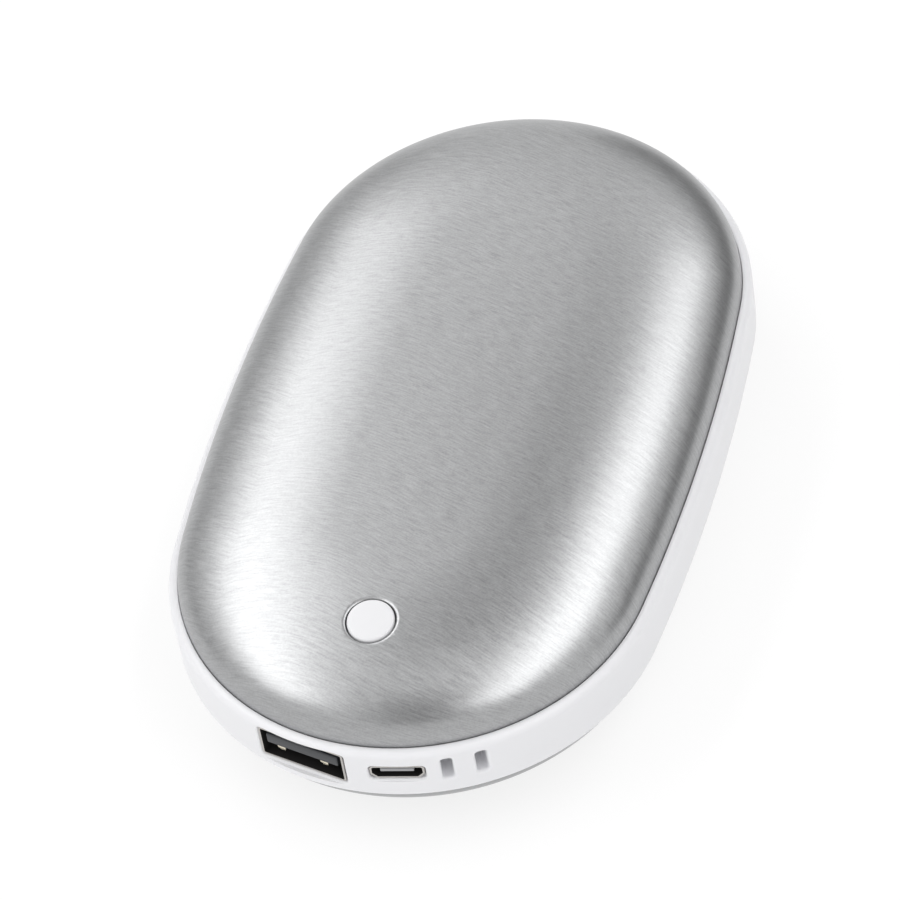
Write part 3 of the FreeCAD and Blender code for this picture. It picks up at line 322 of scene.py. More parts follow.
class Oval:
    """Outline of the body: two long side arcs and two end arcs that meet smoothly."""

    def __init__(self):
        body = body_sizes()
        self.half_width = body.width / 2
        self.half_length = body.length / 2
        self.side_centre = body.side_radius - self.half_width
        spare = body.side_radius**2 - self.side_centre**2 - self.half_length**2
        self.end_radius = spare / (2 * (body.side_radius - self.half_length))
        self.end_centre = self.half_length - self.end_radius
        self.turn = math.atan2(self.end_centre, self.side_centre)
        self.middle = body.band_height / 2 + body.crown_rise
        self.band_top = self.middle + body.band_height / 2
        self.shell_inset = body.lip_radius + body.lip_land + body.shell_seam
        self.crown_run = self.half_width * (1 - body.crown_flat) - self.shell_inset

    def inset_at(self, x, y):
        """Distance in from the outline of a point in one of the round ends."""
        return self.end_radius - math.hypot(x, abs(y) - self.end_centre)

    def wall_x(self, inset, y):
        """Half the width at a place along, some way in from the outline."""
        radius = body_sizes().side_radius
        if abs(y) < radius * math.sin(self.turn):
            return math.sqrt((radius - inset) ** 2 - y**2) - self.side_centre
        return math.sqrt((self.end_radius - inset) ** 2 - (abs(y) - self.end_centre) ** 2)

    def crown_height(self, inset):
        """Height of the crown over the band at a distance in from the outline."""
        body = body_sizes()
        across = min(max(1 - (inset - self.shell_inset) / self.crown_run, 0), 1)
        return body.crown_rise * (1 - across**body.crown_fullness) ** (1 / body.crown_fullness)

    def crown_rows(self, wall, rows):
        """Inset and height of the crown's section from the flat to the rim, a wall inside its face."""
        body = body_sizes()
        power = 2 / body.crown_fullness
        section = [(self.shell_inset + self.crown_run, body.crown_rise - wall)]
        for row in range(rows - 1, 0, -1):
            angle = (1 - math.cos(math.pi * row / rows)) * math.pi / 4
            across = self.crown_run * (1 - math.cos(angle) ** power)
            height = body.crown_rise * math.sin(angle) ** power
            slope_across = self.crown_run * math.cos(angle) ** (power - 1) * math.sin(angle)
            slope_height = body.crown_rise * math.sin(angle) ** (power - 1) * math.cos(angle)
            slope = math.hypot(slope_across, slope_height)
            across += wall * slope_height / slope
            height -= wall * slope_across / slope
            section.append((self.shell_inset + across, height))
        section.append((self.shell_inset + wall, 0))
        return section


def at_wall(angle, level):
    """Placement square to the front wall's face, from a shape at the origin that faces -Y."""
    oval = Oval()
    out = Matrix.Translation((0, -oval.end_radius, 0))
    return Matrix.Translation((0, -oval.end_centre, level)) @ Matrix.Rotation(angle, 4, "Z") @ out


def activate(piece):
    if bpy.context.object and bpy.context.object.mode != "OBJECT":
        bpy.ops.object.mode_set(mode="OBJECT")
    bpy.ops.object.select_all(action="DESELECT")
    piece.select_set(True)
    bpy.context.view_layer.objects.active = piece


def trace(name, points, closed=False):
    """Line of vertices drawn out point by point, left selected in edit mode."""
    bpy.ops.object.select_all(action="DESELECT")
    bpy.ops.mesh.primitive_plane_add(size=MM, location=points[0])
    piece = bpy.context.object
    piece.name = name
    piece.data.name = name
    bpy.ops.object.mode_set(mode="EDIT")
    bpy.ops.mesh.select_mode(type="VERT")
    bpy.ops.mesh.select_all(action="SELECT")
    bpy.ops.mesh.merge(type="CENTER")
    for start, end in zip(points, points[1:]):
        step = Vector(end) - Vector(start)
        bpy.ops.mesh.extrude_region_move(TRANSFORM_OT_translate={"value": step})
    if closed:
        close_line(piece)
    bpy.ops.mesh.select_all(action="SELECT")
    return piece


def close_line(piece):
    """Edge between the first and the last vertex of a drawn line."""
    mesh = bmesh.from_edit_mesh(piece.data)
    ends = [vertex for vertex in mesh.verts if len(vertex.link_edges) == 1]
    bpy.ops.mesh.select_all(action="DESELECT")
    for vertex in ends:
        vertex.select = True
    bmesh.update_edit_mesh(piece.data)
    bpy.ops.mesh.edge_face_add()


def spin_round(centre, angle, steps):
    bpy.ops.mesh.spin(steps=steps, angle=-angle, center=centre, axis=(0, 0, 1))


def run_round_oval():
    """Selected section, drawn at the right side's crest, run once round the outline."""
    oval = Oval()
    end_turn = math.pi - 2 * oval.turn
    spin_round((-oval.side_centre, 0, 0), oval.turn, SIDE_STEPS)
    spin_round((0, oval.end_centre, 0), end_turn, END_STEPS)
    spin_round((oval.side_centre, 0, 0), 2 * oval.turn, 2 * SIDE_STEPS)
    spin_round((0, -oval.end_centre, 0), end_turn, END_STEPS)
    spin_round((-oval.side_centre, 0, 0), oval.turn, SIDE_STEPS)


def merge_doubles():
    """Doubles merged, in edit mode, and everything left selected."""
    bpy.ops.mesh.select_all(action="SELECT")
    bpy.ops.mesh.remove_doubles(threshold=WELD)
    bpy.ops.mesh.select_all(action="SELECT")


def weld():
    """Doubles merged and faces turned outwards, in edit mode."""
    merge_doubles()
    bpy.ops.mesh.normals_make_consistent(inside=False)


def set_down(piece, placement=None):
    """Edit mode left, with the piece's place in its mesh and its object at the origin."""
    activate(piece)
    if placement is not None:
        bpy.ops.object.transform_apply(location=True, rotation=True, scale=True)
        piece.matrix_world = placement
    bpy.ops.object.transform_apply(location=True, rotation=True, scale=True)


def smooth(piece):
    """Doubles that cuts and bevels left merged, then smooth shading up to an angle."""
    activate(piece)
    bpy.ops.object.mode_set(mode="EDIT")
    weld()
    bpy.ops.object.mode_set(mode="OBJECT")
    bpy.ops.object.shade_smooth_by_angle(angle=SMOOTH_ANGLE)


def combine(piece, other, operation):
    """Boolean of another mesh applied to the piece, after which the other is gone."""
    activate(piece)
    bpy.ops.object.modifier_add(type="BOOLEAN")
    modifier = piece.modifiers[-1]
    modifier.operation = operation
    modifier.solver = "EXACT"
    modifier.object = other
    bpy.ops.object.modifier_apply(modifier=modifier.name)
    bpy.data.objects.remove(other)


def edit_selection(piece, kind, chosen):
    """Edit mode, with only the vertices or edges that pass a test selected."""
    activate(piece)
    bpy.ops.object.mode_set(mode="EDIT")
    bpy.ops.mesh.select_mode(type=kind)
    bpy.ops.mesh.select_all(action="DESELECT")
    mesh = bmesh.from_edit_mesh(piece.data)
    for part in mesh.verts if kind == "VERT" else mesh.edges:
        part.select = chosen(part)
    mesh.select_flush_mode()
    bmesh.update_edit_mesh(piece.data)


def bevel_edges(piece, width, steps, chosen):
    """Edges that pass a test of their two ends, rounded."""
    edit_selection(piece, "EDGE", lambda edge: chosen(*(vertex.co for vertex in edge.verts)))
    bpy.ops.mesh.bevel(offset=width, segments=steps, profile=0.5, affect="EDGES", clamp_overlap=True)
    bpy.ops.object.mode_set(mode="OBJECT")


def block(name, low, high, edge=0.0, steps=3):
    """Box between two corners, all its edges rounded."""
    low = Vector(low)
    high = Vector(high)
    bpy.ops.object.select_all(action="DESELECT")
    bpy.ops.mesh.primitive_cube_add(size=1, location=(low + high) / 2, scale=high - low)
    piece = bpy.context.object
    piece.name = name
    piece.data.name = name
    set_down(piece)
    if edge:
        bevel_edges(piece, edge, steps, lambda first, second: True)
    return piece


def skin(name, loops):
    """Closed mesh over a row of loops with equal counts of points, capped at both ends."""
    mesh = bmesh.new()
    rows = [[mesh.verts.new(point) for point in loop] for loop in loops]
    for row, following in zip(rows, rows[1:]):
        for index in range(len(row)):
            after = (index + 1) % len(row)
            mesh.faces.new((row[index], row[after], following[after], following[index]))
    mesh.faces.new(rows[0])
    mesh.faces.new(rows[-1])
    bmesh.ops.recalc_face_normals(mesh, faces=mesh.faces)
    data = bpy.data.meshes.new(name)
    mesh.to_mesh(data)
    mesh.free()
    piece = bpy.data.objects.new(name, data)
    bpy.context.scene.collection.objects.link(piece)
    return piece


def rounded_outline(width, height, corner):
    """Points of a rounded rectangle about the origin, anticlockwise."""
    x = width / 2 - corner
    z = height / 2 - corner
    points = []
    for quarter, (sign_x, sign_z) in enumerate(((1, 1), (-1, 1), (-1, -1), (1, -1))):
        for step in range(CORNER_STEPS + 1):
            angle = (quarter + step / CORNER_STEPS) * math.pi / 2
            points.append((sign_x * x + corner * math.cos(angle), sign_z * z + corner * math.sin(angle)))
    return points


def micro_outline(width, height, corner_low, corner_high):
    """Points of the micro socket's outline, its corners cut off, the lower ones more."""
    x = width / 2
    z = height / 2
    right = [(x - corner_low, -z), (x, corner_low - z), (x, z - corner_high), (x - corner_high, z)]
    return right + [(-px, pz) for px, pz in reversed(right)]


def wall_depth(x):
    """How far the round front wall has fallen back at a distance beside a socket's middle."""
    radius = Oval().end_radius
    return radius - math.sqrt(radius**2 - x**2)


def mouth_cutter(name, outline, edge, depth, placement):
    """Cutter for an opening in the front wall, with a rounded mouth that follows the wall."""
    def mouth_loop(angle, back):
        return [(x, wall_depth(x) + back, z) for x, z in outline(2 * edge * (1 - math.sin(angle)))]

    loops = [mouth_loop(MOUTH_TURNS[0], -OVERRUN)]
    loops += [mouth_loop(angle, edge * (1 - math.cos(angle))) for angle in MOUTH_TURNS]
    loops.append([(x, depth, z) for x, z in outline(0)])
    cutter = skin(name, loops)
    set_down(cutter, placement)
    return cutter


def crown_ring(radius, drop):
    """Loop of points round the button's axis, at a depth under the crown."""
    oval = Oval()
    centre_y = bpy.context.scene.hand_warmer_button.setback - oval.half_length
    loop = []
    for step in range(ROUND_STEPS):
        angle = 2 * math.pi * step / ROUND_STEPS
        x = radius * math.cos(angle)
        y = centre_y + radius * math.sin(angle)
        loop.append((x, y, oval.band_top + oval.crown_height(oval.inset_at(x, y)) - drop))
    return loop


def finish_piece(piece, body, nodes, slot, *materials):
    """Materials, body and CAD nodes of a finished piece. The record slot is not used."""
    for material in materials:
        piece.data.materials.append(material)
    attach(piece, body)
    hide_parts(*nodes)


class Wire:
    """A node socket in Python expressions. Each operator on values adds a Math node."""

    def __init__(self, tree, socket=None):
        self.tree = tree
        self.socket = socket

    def add(self, kind, settings=None, sockets=None, output=0):
        """Any node: its settings first, then the values or links of its sockets."""
        node = self.tree.nodes.new(kind)
        for key, value in (settings or {}).items():
            setattr(node, key, value)
        for key, value in (sockets or {}).items():
            if isinstance(value, Wire):
                self.tree.links.new(value.socket, node.inputs[key])
            else:
                node.inputs[key].default_value = value
        return Wire(self.tree, node.outputs[output] if node.outputs else None)

    def math(self, operation, *values):
        return self.add("ShaderNodeMath", {"operation": operation}, dict(enumerate(values)))

    def __add__(self, other):
        return self.math("ADD", self, other)

    def __radd__(self, other):
        return self.math("ADD", other, self)

    def __sub__(self, other):
        return self.math("SUBTRACT", self, other)

    def __rsub__(self, other):
        return self.math("SUBTRACT", other, self)

    def __mul__(self, other):
        return self.math("MULTIPLY", self, other)

    def __rmul__(self, other):
        return self.math("MULTIPLY", other, self)

    def __truediv__(self, other):
        return self.math("DIVIDE", self, other)

    def __rtruediv__(self, other):
        return self.math("DIVIDE", other, self)

    def __abs__(self):
        return self.math("ABSOLUTE", self)


def opaque(tone, factor=1.0):
    return (*(min(part * factor, 1) for part in tone), 1)


def new_finish(name):
    """Empty node material and the wire that adds nodes to it."""
    material = bpy.data.materials.new(name)
    material.use_nodes = True
    material.node_tree.nodes.clear()
    return material, Wire(material.node_tree)


def object_place(wire):
    return wire.add("ShaderNodeTexCoord", output="Object")


def noise(wire, place, scale, detail=2.0, rough=0.5):
    sockets = {"Vector": place, "Scale": scale, "Detail": detail, "Roughness": rough}
    return wire.add("ShaderNodeTexNoise", {"noise_dimensions": "3D"}, sockets)


def blend(wire, factor, first, second):
    return wire.add("ShaderNodeMix", {"data_type": "RGBA"}, {0: factor, 6: first, 7: second}, 2)


def bump(wire, height, distance, strength):
    return wire.add("ShaderNodeBump", None, {"Height": height, "Distance": distance, "Strength": strength})


def close_finish(wire, sockets):
    """Principled shader with these sockets, joined to the material's output."""
    shader = wire.add("ShaderNodeBsdfPrincipled", None, sockets)
    wire.add("ShaderNodeOutputMaterial", None, {"Surface": shader})


def axes(wire, vector):
    """The three parts of a vector."""
    node = wire.add("ShaderNodeSeparateXYZ", None, {0: vector}).socket.node
    return [Wire(wire.tree, node.outputs[axis]) for axis in range(3)]


def stretched(wire, parts, scales):
    """Place whose parts are scaled apart, which draws a noise out into lines."""
    sockets = {axis: part * scale for axis, (part, scale) in enumerate(zip(parts, scales))}
    return wire.add("ShaderNodeCombineXYZ", None, sockets)


def wander(middle, swing, value):
    """Swing about a middle, from a value between 0 and 1."""
    return middle - swing + 2 * swing * value


def moulded(name, tone, rough, mottle, grain=PLAIN_GRAIN, depth=PLAIN_DEPTH, extra=None):
    """Moulded plastic: faint mottling, a roughness that wanders and a fine spark-eroded grain."""
    material, wire = new_finish(name)
    place = object_place(wire)
    cloud = noise(wire, place, CLOUD_SCALE, 3.0)
    fine = noise(wire, place, grain, 2.0)
    close_finish(wire, {
        "Base Color": blend(wire, cloud, opaque(tone, 1 - mottle), opaque(tone, 1 + mottle)),
        "Roughness": wander(rough, PLASTIC_SWING, cloud),
        "Normal": bump(wire, fine, depth, GRAIN_STRENGTH),
        **(extra or {}),
    })
    return material


def sheet_metal(name, tone, rough):
    """Rolled or plated sheet: streaks along the rolling direction and a patchy polish."""
    material, wire = new_finish(name)
    place = object_place(wire)
    drawn = wire.add("ShaderNodeVectorMath", {"operation": "MULTIPLY"}, {0: place, 1: STREAK_SCALES})
    lines = noise(wire, drawn, 1.0, 3.0)
    patches = noise(wire, place, PATCH_SCALE, 2.0)
    dark, light = (opaque(tone, factor) for factor in SHEET_TONES)
    close_finish(wire, {
        "Base Color": blend(wire, 0.5 * lines + 0.5 * patches, dark, light),
        "Metallic": 1.0,
        "Roughness": wander(rough, SHEET_SWING, lines),
        "Normal": bump(wire, lines, SHEET_DEPTH, SHEET_STRENGTH),
    })
    return material


def brushed_aluminium(name):
    """Aluminium brushed in fine wavering lines that cross the crown aslant and arch at its left side."""
    oval = Oval()
    tone = finishes().aluminium
    material, wire = new_finish(name)
    place = object_place(wire)
    x, y, z = axes(wire, place)
    facing_y = axes(wire, wire.add("ShaderNodeTexCoord", output="Normal"))[1]
    drop = oval.middle - abs(z - oval.middle)
    lean = wire.add("ShaderNodeClamp", None, {0: (ARCH_START - x) / ARCH_RUN})
    sweep = LINE_SLOPE * x + ARCH_RISE * lean * lean * lean * (1 - 0.5 * lean)
    small, large = (noise(wire, place, scale, 1.0) * reach for scale, reach in WAVERS)
    bent = y + facing_y * abs(facing_y) * drop + sweep + (small + large)
    strokes = noise(wire, stretched(wire, (x, bent, z), LINE_SCALES), 1.0, 2.0, 0.6)
    lines = (1 - SPECK_SHARE) * strokes + SPECK_SHARE * noise(wire, place, SPECK_SCALE, 1.0)
    broad = noise(wire, stretched(wire, (x, bent, z), BROAD_SCALES), 1.0, 2.0)
    dark, light = (opaque(tone, factor) for factor in LINE_TONES)
    close_finish(wire, {
        "Base Color": blend(wire, broad * BROAD_SHARE, blend(wire, lines, dark, light), opaque(tone)),
        "Metallic": 1.0,
        "Roughness": wander(LINE_ROUGH, LINE_SWING, lines),
        "Normal": bump(wire, lines, LINE_DEPTH, LINE_STRENGTH),
    })
    return material


class HANDWARMER_OT_stage(Operator):
    """Sets up the floor, the world, the lamps and the camera"""
    bl_idname = "hand_warmer.stage"
    bl_label = "Studio"

    def execute(self, context):
        studio = context.scene.hand_warmer_studio
        build_floor()
        build_world(context.scene)
        for name, place, width, height, part in SIDE_LAMPS:
            add_lamp(name, place, width, height, part * studio.strips)
        front_lamp = add_lamp(*FRONT_LAMP, studio.front)
        front_lamp.visible_glossy = False
        for card in CARDS:
            add_flag(*card)
        build_camera(context.scene, studio)
        context.scene.view_settings.view_transform = "Standard"
        return {"FINISHED"}


def seen_directly(wire):
    """1 for rays that show the background: from the camera, and through gloss or glass."""
    path = wire.add("ShaderNodeLightPath").socket.node
    camera = Wire(wire.tree, path.outputs["Is Camera Ray"])
    glossy = Wire(wire.tree, path.outputs["Is Glossy Ray"])
    through = Wire(wire.tree, path.outputs["Is Transmission Ray"])
    return camera.math("MAXIMUM", camera.math("MAXIMUM", camera, glossy), through)


def clouded_matt(wire, tone, scale, change):
    """Matt shader whose tone varies a little."""
    cloud = noise(wire, object_place(wire), scale)
    base = blend(wire, cloud, opaque(tone, 1 - change), opaque(tone, 1 + change))
    return wire.add("ShaderNodeBsdfDiffuse", None, {"Color": base})


def build_floor():
    """Pale floor that keeps the object's shadow and goes up to white in the open."""
    bpy.ops.object.select_all(action="DESELECT")
    bpy.ops.mesh.primitive_grid_add(x_subdivisions=8, y_subdivisions=8, size=6)
    floor = bpy.context.object
    floor.name = "studio_floor"
    material, wire = new_finish("studio floor")
    matt = clouded_matt(wire, finishes().floor, 3.0, 0.01)
    strength = FLOOR_GLOW + FLOOR_SEEN_GLOW * seen_directly(wire)
    glow = wire.add("ShaderNodeEmission", None, {"Color": WHITE, "Strength": strength})
    both = wire.add("ShaderNodeAddShader", None, {0: matt, 1: glow})
    wire.add("ShaderNodeOutputMaterial", None, {"Surface": both})
    floor.data.materials.append(material)


def build_world(scene):
    """White to the eye and to gloss, and a softer fill light for everything else."""
    world = bpy.data.worlds.new("studio")
    world.use_nodes = True
    world.node_tree.nodes.clear()
    wire = Wire(world.node_tree)
    strength = WORLD_FILL + (1 - WORLD_FILL) * seen_directly(wire)
    sky = wire.add("ShaderNodeBackground", None, {"Color": WHITE, "Strength": strength})
    wire.add("ShaderNodeOutputWorld", None, {"Surface": sky})
    scene.world = world


def add_lamp(name, place, width, height, power):
    """Soft lamp that faces the object, its long side level."""
    bpy.ops.object.light_add(type="AREA", location=place)
    lamp = bpy.context.object
    lamp.name = name
    lamp.data.shape = "RECTANGLE"
    lamp.data.size = width
    lamp.data.size_y = height
    lamp.data.energy = power
    lamp.rotation_euler = Vector(place).to_track_quat("Z", "Y").to_euler()
    return lamp


def add_flag(name, place, width, height, tone):
    """Grey card that faces the object, hidden from the camera, for the metal to reflect."""
    bpy.ops.object.select_all(action="DESELECT")
    bpy.ops.mesh.primitive_grid_add(x_subdivisions=4, y_subdivisions=4, size=1, location=place)
    flag = bpy.context.object
    flag.name = name
    flag.scale = (width, height, 1)
    flag.rotation_euler = Vector(place).to_track_quat("Z", "Y").to_euler()
    material, wire = new_finish("studio " + name)
    matt = clouded_matt(wire, (tone, tone, tone), 4.0, 0.02)
    wire.add("ShaderNodeOutputMaterial", None, {"Surface": matt})
    flag.data.materials.append(material)
    flag.visible_camera = False
    flag.visible_shadow = False
    flag.visible_diffuse = False


def build_camera(scene, studio):
    """Camera at the photograph's angle."""
    level = math.cos(studio.elevation)
    across = math.sin(studio.azimuth) * level
    along = -math.cos(studio.azimuth) * level
    back = Vector((across, along, math.sin(studio.elevation)))
    right = (-back).cross(Vector((0, 0, 1))).normalized()
    up = right.cross(-back)
    rolled_right = math.cos(studio.roll) * right + math.sin(studio.roll) * up
    rolled_up = math.cos(studio.roll) * up - math.sin(studio.roll) * right
    target = Vector((0, 0, Oval().middle)) - AIM_LEFT * rolled_right - AIM_DOWN * rolled_up
    bpy.ops.object.camera_add()
    camera = bpy.context.object
    camera.name = "studio_camera"
    facing = Matrix((rolled_right, rolled_up, back)).transposed().to_4x4()
    camera.matrix_world = Matrix.Translation(target + back * studio.distance) @ facing
    camera.data.lens = studio.lens
    camera.data.sensor_width = 36
    camera.data.clip_start = 0.01
    camera.data.clip_end = 20
    scene.camera = camera


class HANDWARMER_OT_band(Operator):
    """Makes the white plastic band with its socket openings and cord slots"""
    bl_idname = "hand_warmer.band"
    bl_label = "Plastic band"

    def execute(self, context):
        band = band_ring()
        add_cord_block(band, context.scene.hand_warmer_sockets)
        cut_openings(band, context.scene.hand_warmer_sockets)
        add_lugs(band)
        smooth(band)
        tone = finishes().band
        milky = {"Subsurface Weight": 0.5, "Subsurface Scale": 0.0006, "Subsurface Radius": (1, 1, 1)}
        finish = moulded("white band plastic", tone, rough=0.38, mottle=0.015, grain=7000.0,
                         depth=0.000003, extra=milky)
        finish_piece(band, "case", ["middle_frame"], "band_plastic", finish)
        return {"FINISHED"}


def band_ring():
    """Plain band: rounded lips, seats for the shells and a straight inner wall."""
    body = body_sizes()
    oval = Oval()
    half = body.band_height / 2
    seat = body.lip_radius + body.lip_land
    seat_level = half - body.seat_depth
    upper = [(body.band_wall, 0), (body.band_wall, seat_level), (seat, seat_level), (seat, half)]
    for step in range(LIP_STEPS + 1):
        angle = step / LIP_STEPS * math.pi / 2
        inset = body.lip_radius * (1 - math.sin(angle))
        upper.append((inset, half - body.lip_radius * (1 - math.cos(angle))))
    section = upper + [(inset, -height) for inset, height in reversed(upper[1:])]
    points = [(oval.half_width - inset, 0, oval.middle + height) for inset, height in section]
    band = trace("band_moulding", points, closed=True)
    run_round_oval()
    weld()
    set_down(band)
    return band


def add_cord_block(band, sockets):
    """Block behind the wall that holds the bar and the channel of the wrist cord."""
    body = body_sizes()
    oval = Oval()
    half_width = sockets.slot_pitch / 2 + sockets.slot_width / 2 + sockets.cord_wall
    half_height = sockets.slot_height / 2 + sockets.cord_wall
    back = sockets.cord_back + sockets.cord_wall
    low = (-half_width, body.band_wall / 2, -half_height)
    cord_block = block("cord_block", low, (half_width, back, half_height))
    set_down(cord_block, at_wall(sockets.slot_turn, oval.middle + sockets.slot_rise))
    combine(band, cord_block, "UNION")


def lug_pad(height):
    """Round pad with its screw hole, and the arm that runs from it into the wall."""
    body = body_sizes()
    arm = body.lug_reach + body.band_wall / 2
    outline = [(arm, -body.lug_radius), (arm, body.lug_radius)]
    for step in range(ROUND_STEPS // 2 + 1):
        angle = math.pi / 2 + 2 * math.pi * step / ROUND_STEPS
        outline.append((body.lug_radius * math.cos(angle), body.lug_radius * math.sin(angle)))
    pad = skin("lug", [[(x, y, level) for x, y in outline] for level in (0, height)])
    turns = [2 * math.pi * step / ROUND_STEPS for step in range(ROUND_STEPS)]
    circle = [(body.lug_hole * math.cos(angle), body.lug_hole * math.sin(angle)) for angle in turns]
    hole = skin("hole", [[(x, y, level) for x, y in circle] for level in (-OVERRUN, height + OVERRUN)])
    combine(pad, hole, "DIFFERENCE")
    return pad


def add_lugs(band):
    """Lugs for the tray's four screws and the board's two."""
    body = body_sizes()
    oval = Oval()
    low = oval.middle - body.band_height / 2 + body.seat_depth + LUG_CLEAR
    high = oval.middle - body.tray_ear - LUG_CLEAR
    places = []
    for y in (screws_low.y + body.screw_head, screws_high.y - body.screw_head):
        x = oval.wall_x(body.band_wall, y) - body.lug_reach
        places += [(x, y, 0, low, high), (-x, y, math.pi, low, high)]
    reach = oval.end_radius - body.band_wall - body.lug_reach
    low = board_high.z + LUG_CLEAR
    high = low + body.board_lug_height
    for angle in (body.board_lug_turn, -body.board_lug_turn):
        x = reach * math.sin(angle)
        y = -oval.end_centre - reach * math.cos(angle)
        places.append((x, y, angle - math.pi / 2, low, high))
    for x, y, angle, bottom, top in places:
        pad = lug_pad(top - bottom)
        set_down(pad, Matrix.Translation((x, y, bottom)) @ Matrix.Rotation(angle, 4, "Z"))
        combine(band, pad, "UNION")


def cut_openings(band, sockets):
    """Openings of the two sockets and the two cord slots, with rounded mouths."""
    body = body_sizes()
    oval = Oval()
    gap = 2 * sockets.port_gap
    level = oval.middle + sockets.port_rise
    slot_level = oval.middle + sockets.slot_rise
    through = 2 * body.band_wall

    def cut_mouth(width, height, corner, depth, placement):
        def outline(grow):
            return rounded_outline(width + grow, height + grow, corner + grow / 2)
        combine(band, mouth_cutter("cut", outline, sockets.port_edge, depth, placement), "DIFFERENCE")

    cut_mouth(sockets.usb_a_width + gap, sockets.usb_a_height + gap, USB_A_PORT_CORNER, through,
              at_wall(sockets.usb_a_turn, level))
    cut_mouth(sockets.micro_width + gap, sockets.micro_height + gap, MICRO_PORT_CORNER, through,
              at_wall(sockets.micro_turn, level))
    half_turn = sockets.slot_pitch / oval.end_radius / 2
    for side in (-half_turn, half_turn):
        cut_mouth(sockets.slot_width, sockets.slot_height, sockets.slot_corner, sockets.cord_back,
                  at_wall(sockets.slot_turn + side, slot_level))
    half_height = sockets.slot_height / 2 - CHANNEL_MARGIN
    channel = block("channel", (-sockets.slot_pitch / 2, sockets.cord_bar, -half_height),
                    (sockets.slot_pitch / 2, sockets.cord_back, half_height), sockets.slot_corner)
    set_down(channel, at_wall(sockets.slot_turn, slot_level))
    combine(band, channel, "DIFFERENCE")


class HANDWARMER_OT_shells(Operator):
    """Makes the two brushed metal shells"""
    bl_idname = "hand_warmer.shells"
    bl_label = "Metal shells"

    def execute(self, context):
        finish = brushed_aluminium("brushed aluminium")
        upper = crowned_shell("upper_shell_drawn", 1)
        cut_button_hole(upper, context.scene.hand_warmer_button)
        smooth(upper)
        finish_piece(upper, "case", ["upper_shell"], "shell_aluminium", finish)
        lower = crowned_shell("lower_shell_drawn", -1)
        smooth(lower)
        finish_piece(lower, "case", ["lower_shell"], "shell_aluminium", finish)
        return {"FINISHED"}


def crowned_shell(name, side):
    """Drawn shell: crown, straight rim and an even wall, upwards or downwards."""
    body = body_sizes()
    oval = Oval()
    outer = oval.crown_rows(0, CROWN_ROWS) + [(oval.shell_inset, -body.shell_tuck)]
    inner = oval.crown_rows(body.shell_wall, INNER_ROWS)
    inner.append((oval.shell_inset + body.shell_wall, -body.shell_tuck))
    section = outer + list(reversed(inner))
    half = body.band_height / 2
    points = [(oval.half_width - inset, 0, oval.middle + side * (half + height)) for inset, height in section]
    piece = trace(name, points)
    run_round_oval()
    merge_doubles()
    bpy.ops.mesh.fill_holes(sides=0)
    weld()
    set_down(piece)
    return piece


def cut_button_hole(shell, button):
    """Round hole for the button, its edge drawn in a little along the crown as a punch leaves it."""
    radius = button.radius + button.gap
    loops = [crown_ring(radius + button.hole_edge, -OVERRUN)]
    for angle in HOLE_TURNS:
        out = button.hole_edge * (1 - math.sin(angle))
        loops.append(crown_ring(radius + out, button.hole_sink * (1 - math.cos(angle))))
    loops.append(crown_ring(radius, 3 * body_sizes().shell_wall))
    combine(shell, skin("hole_cutter", loops), "DIFFERENCE")


class HANDWARMER_OT_button(Operator):
    """Makes the power button, whose cap follows the crown"""
    bl_idname = "hand_warmer.button"
    bl_label = "Power button"

    def execute(self, context):
        cap = button_cap(context.scene.hand_warmer_button)
        smooth(cap)
        finish = moulded("white button plastic", finishes().button, rough=0.3, mottle=0.015, grain=6000.0,
                         depth=0.000003)
        finish_piece(cap, "button", ["power_button"], "button_plastic", finish)
        return {"FINISHED"}


def button_cap(button):
    """Turned cap, flange and stem, its top then raised to the crown all over."""
    oval = Oval()
    low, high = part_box("power_button")
    flange_top = flange_level(button)
    flange_under = flange_top - button.flange_height
    section = [(row / CAP_ROWS * (button.radius - button.edge), 0) for row in range(CAP_ROWS)]
    for angle in CAP_TURNS:
        out = button.radius - button.edge * (1 - math.sin(angle))
        section.append((out, -button.edge * (1 - math.cos(angle))))
    under = [(button.radius, flange_top), (button.flange_radius, flange_top),
             (button.flange_radius, flange_under), (button.stem_radius, flange_under),
             (button.stem_radius, low.z), (0, low.z)]
    top = high.z
    centre_y = button.setback - oval.half_length
    points = [(out, centre_y, top + height) for out, height in section]
    points += [(out, centre_y, height) for out, height in under]
    cap = trace("power_button_cap", points)
    spin_round((0, centre_y, 0), 2 * math.pi, ROUND_STEPS)
    weld()
    mesh = bmesh.from_edit_mesh(cap.data)
    for vertex in mesh.verts:
        place = cap.matrix_world @ vertex.co
        if place.z > top - CAP_TOP_DEPTH * button.edge:
            crown = oval.band_top + oval.crown_height(oval.inset_at(place.x, place.y)) + button.proud
            vertex.co.z += crown - top
    bmesh.update_edit_mesh(cap.data)
    set_down(cap)
    return cap


def flange_level(button):
    """Top of the flange, as the CAD button has it: its widest part ends there."""
    verts = [vertex.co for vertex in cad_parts["power_button"].data.vertices]
    centre_y = button.setback - Oval().half_length
    wide = [co.z for co in verts if math.hypot(co.x, co.y - centre_y) > button.flange_radius - FLANGE_MARGIN]
    return max(wide)


class HANDWARMER_OT_snap_disc(Operator):
    """Makes the switch's snap disc"""
    bl_idname = "hand_warmer.snap_disc"
    bl_label = "Snap disc"

    def execute(self, context):
        button = context.scene.hand_warmer_button
        low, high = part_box("switch_dome")
        disc = snap_disc(button, low, high)
        smooth(disc)
        finish = sheet_metal("snap disc steel", finishes().steel, rough=0.25)
        finish_piece(disc, "case", ["switch_dome"], "nickel", finish)
        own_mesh(disc)
        return {"FINISHED"}


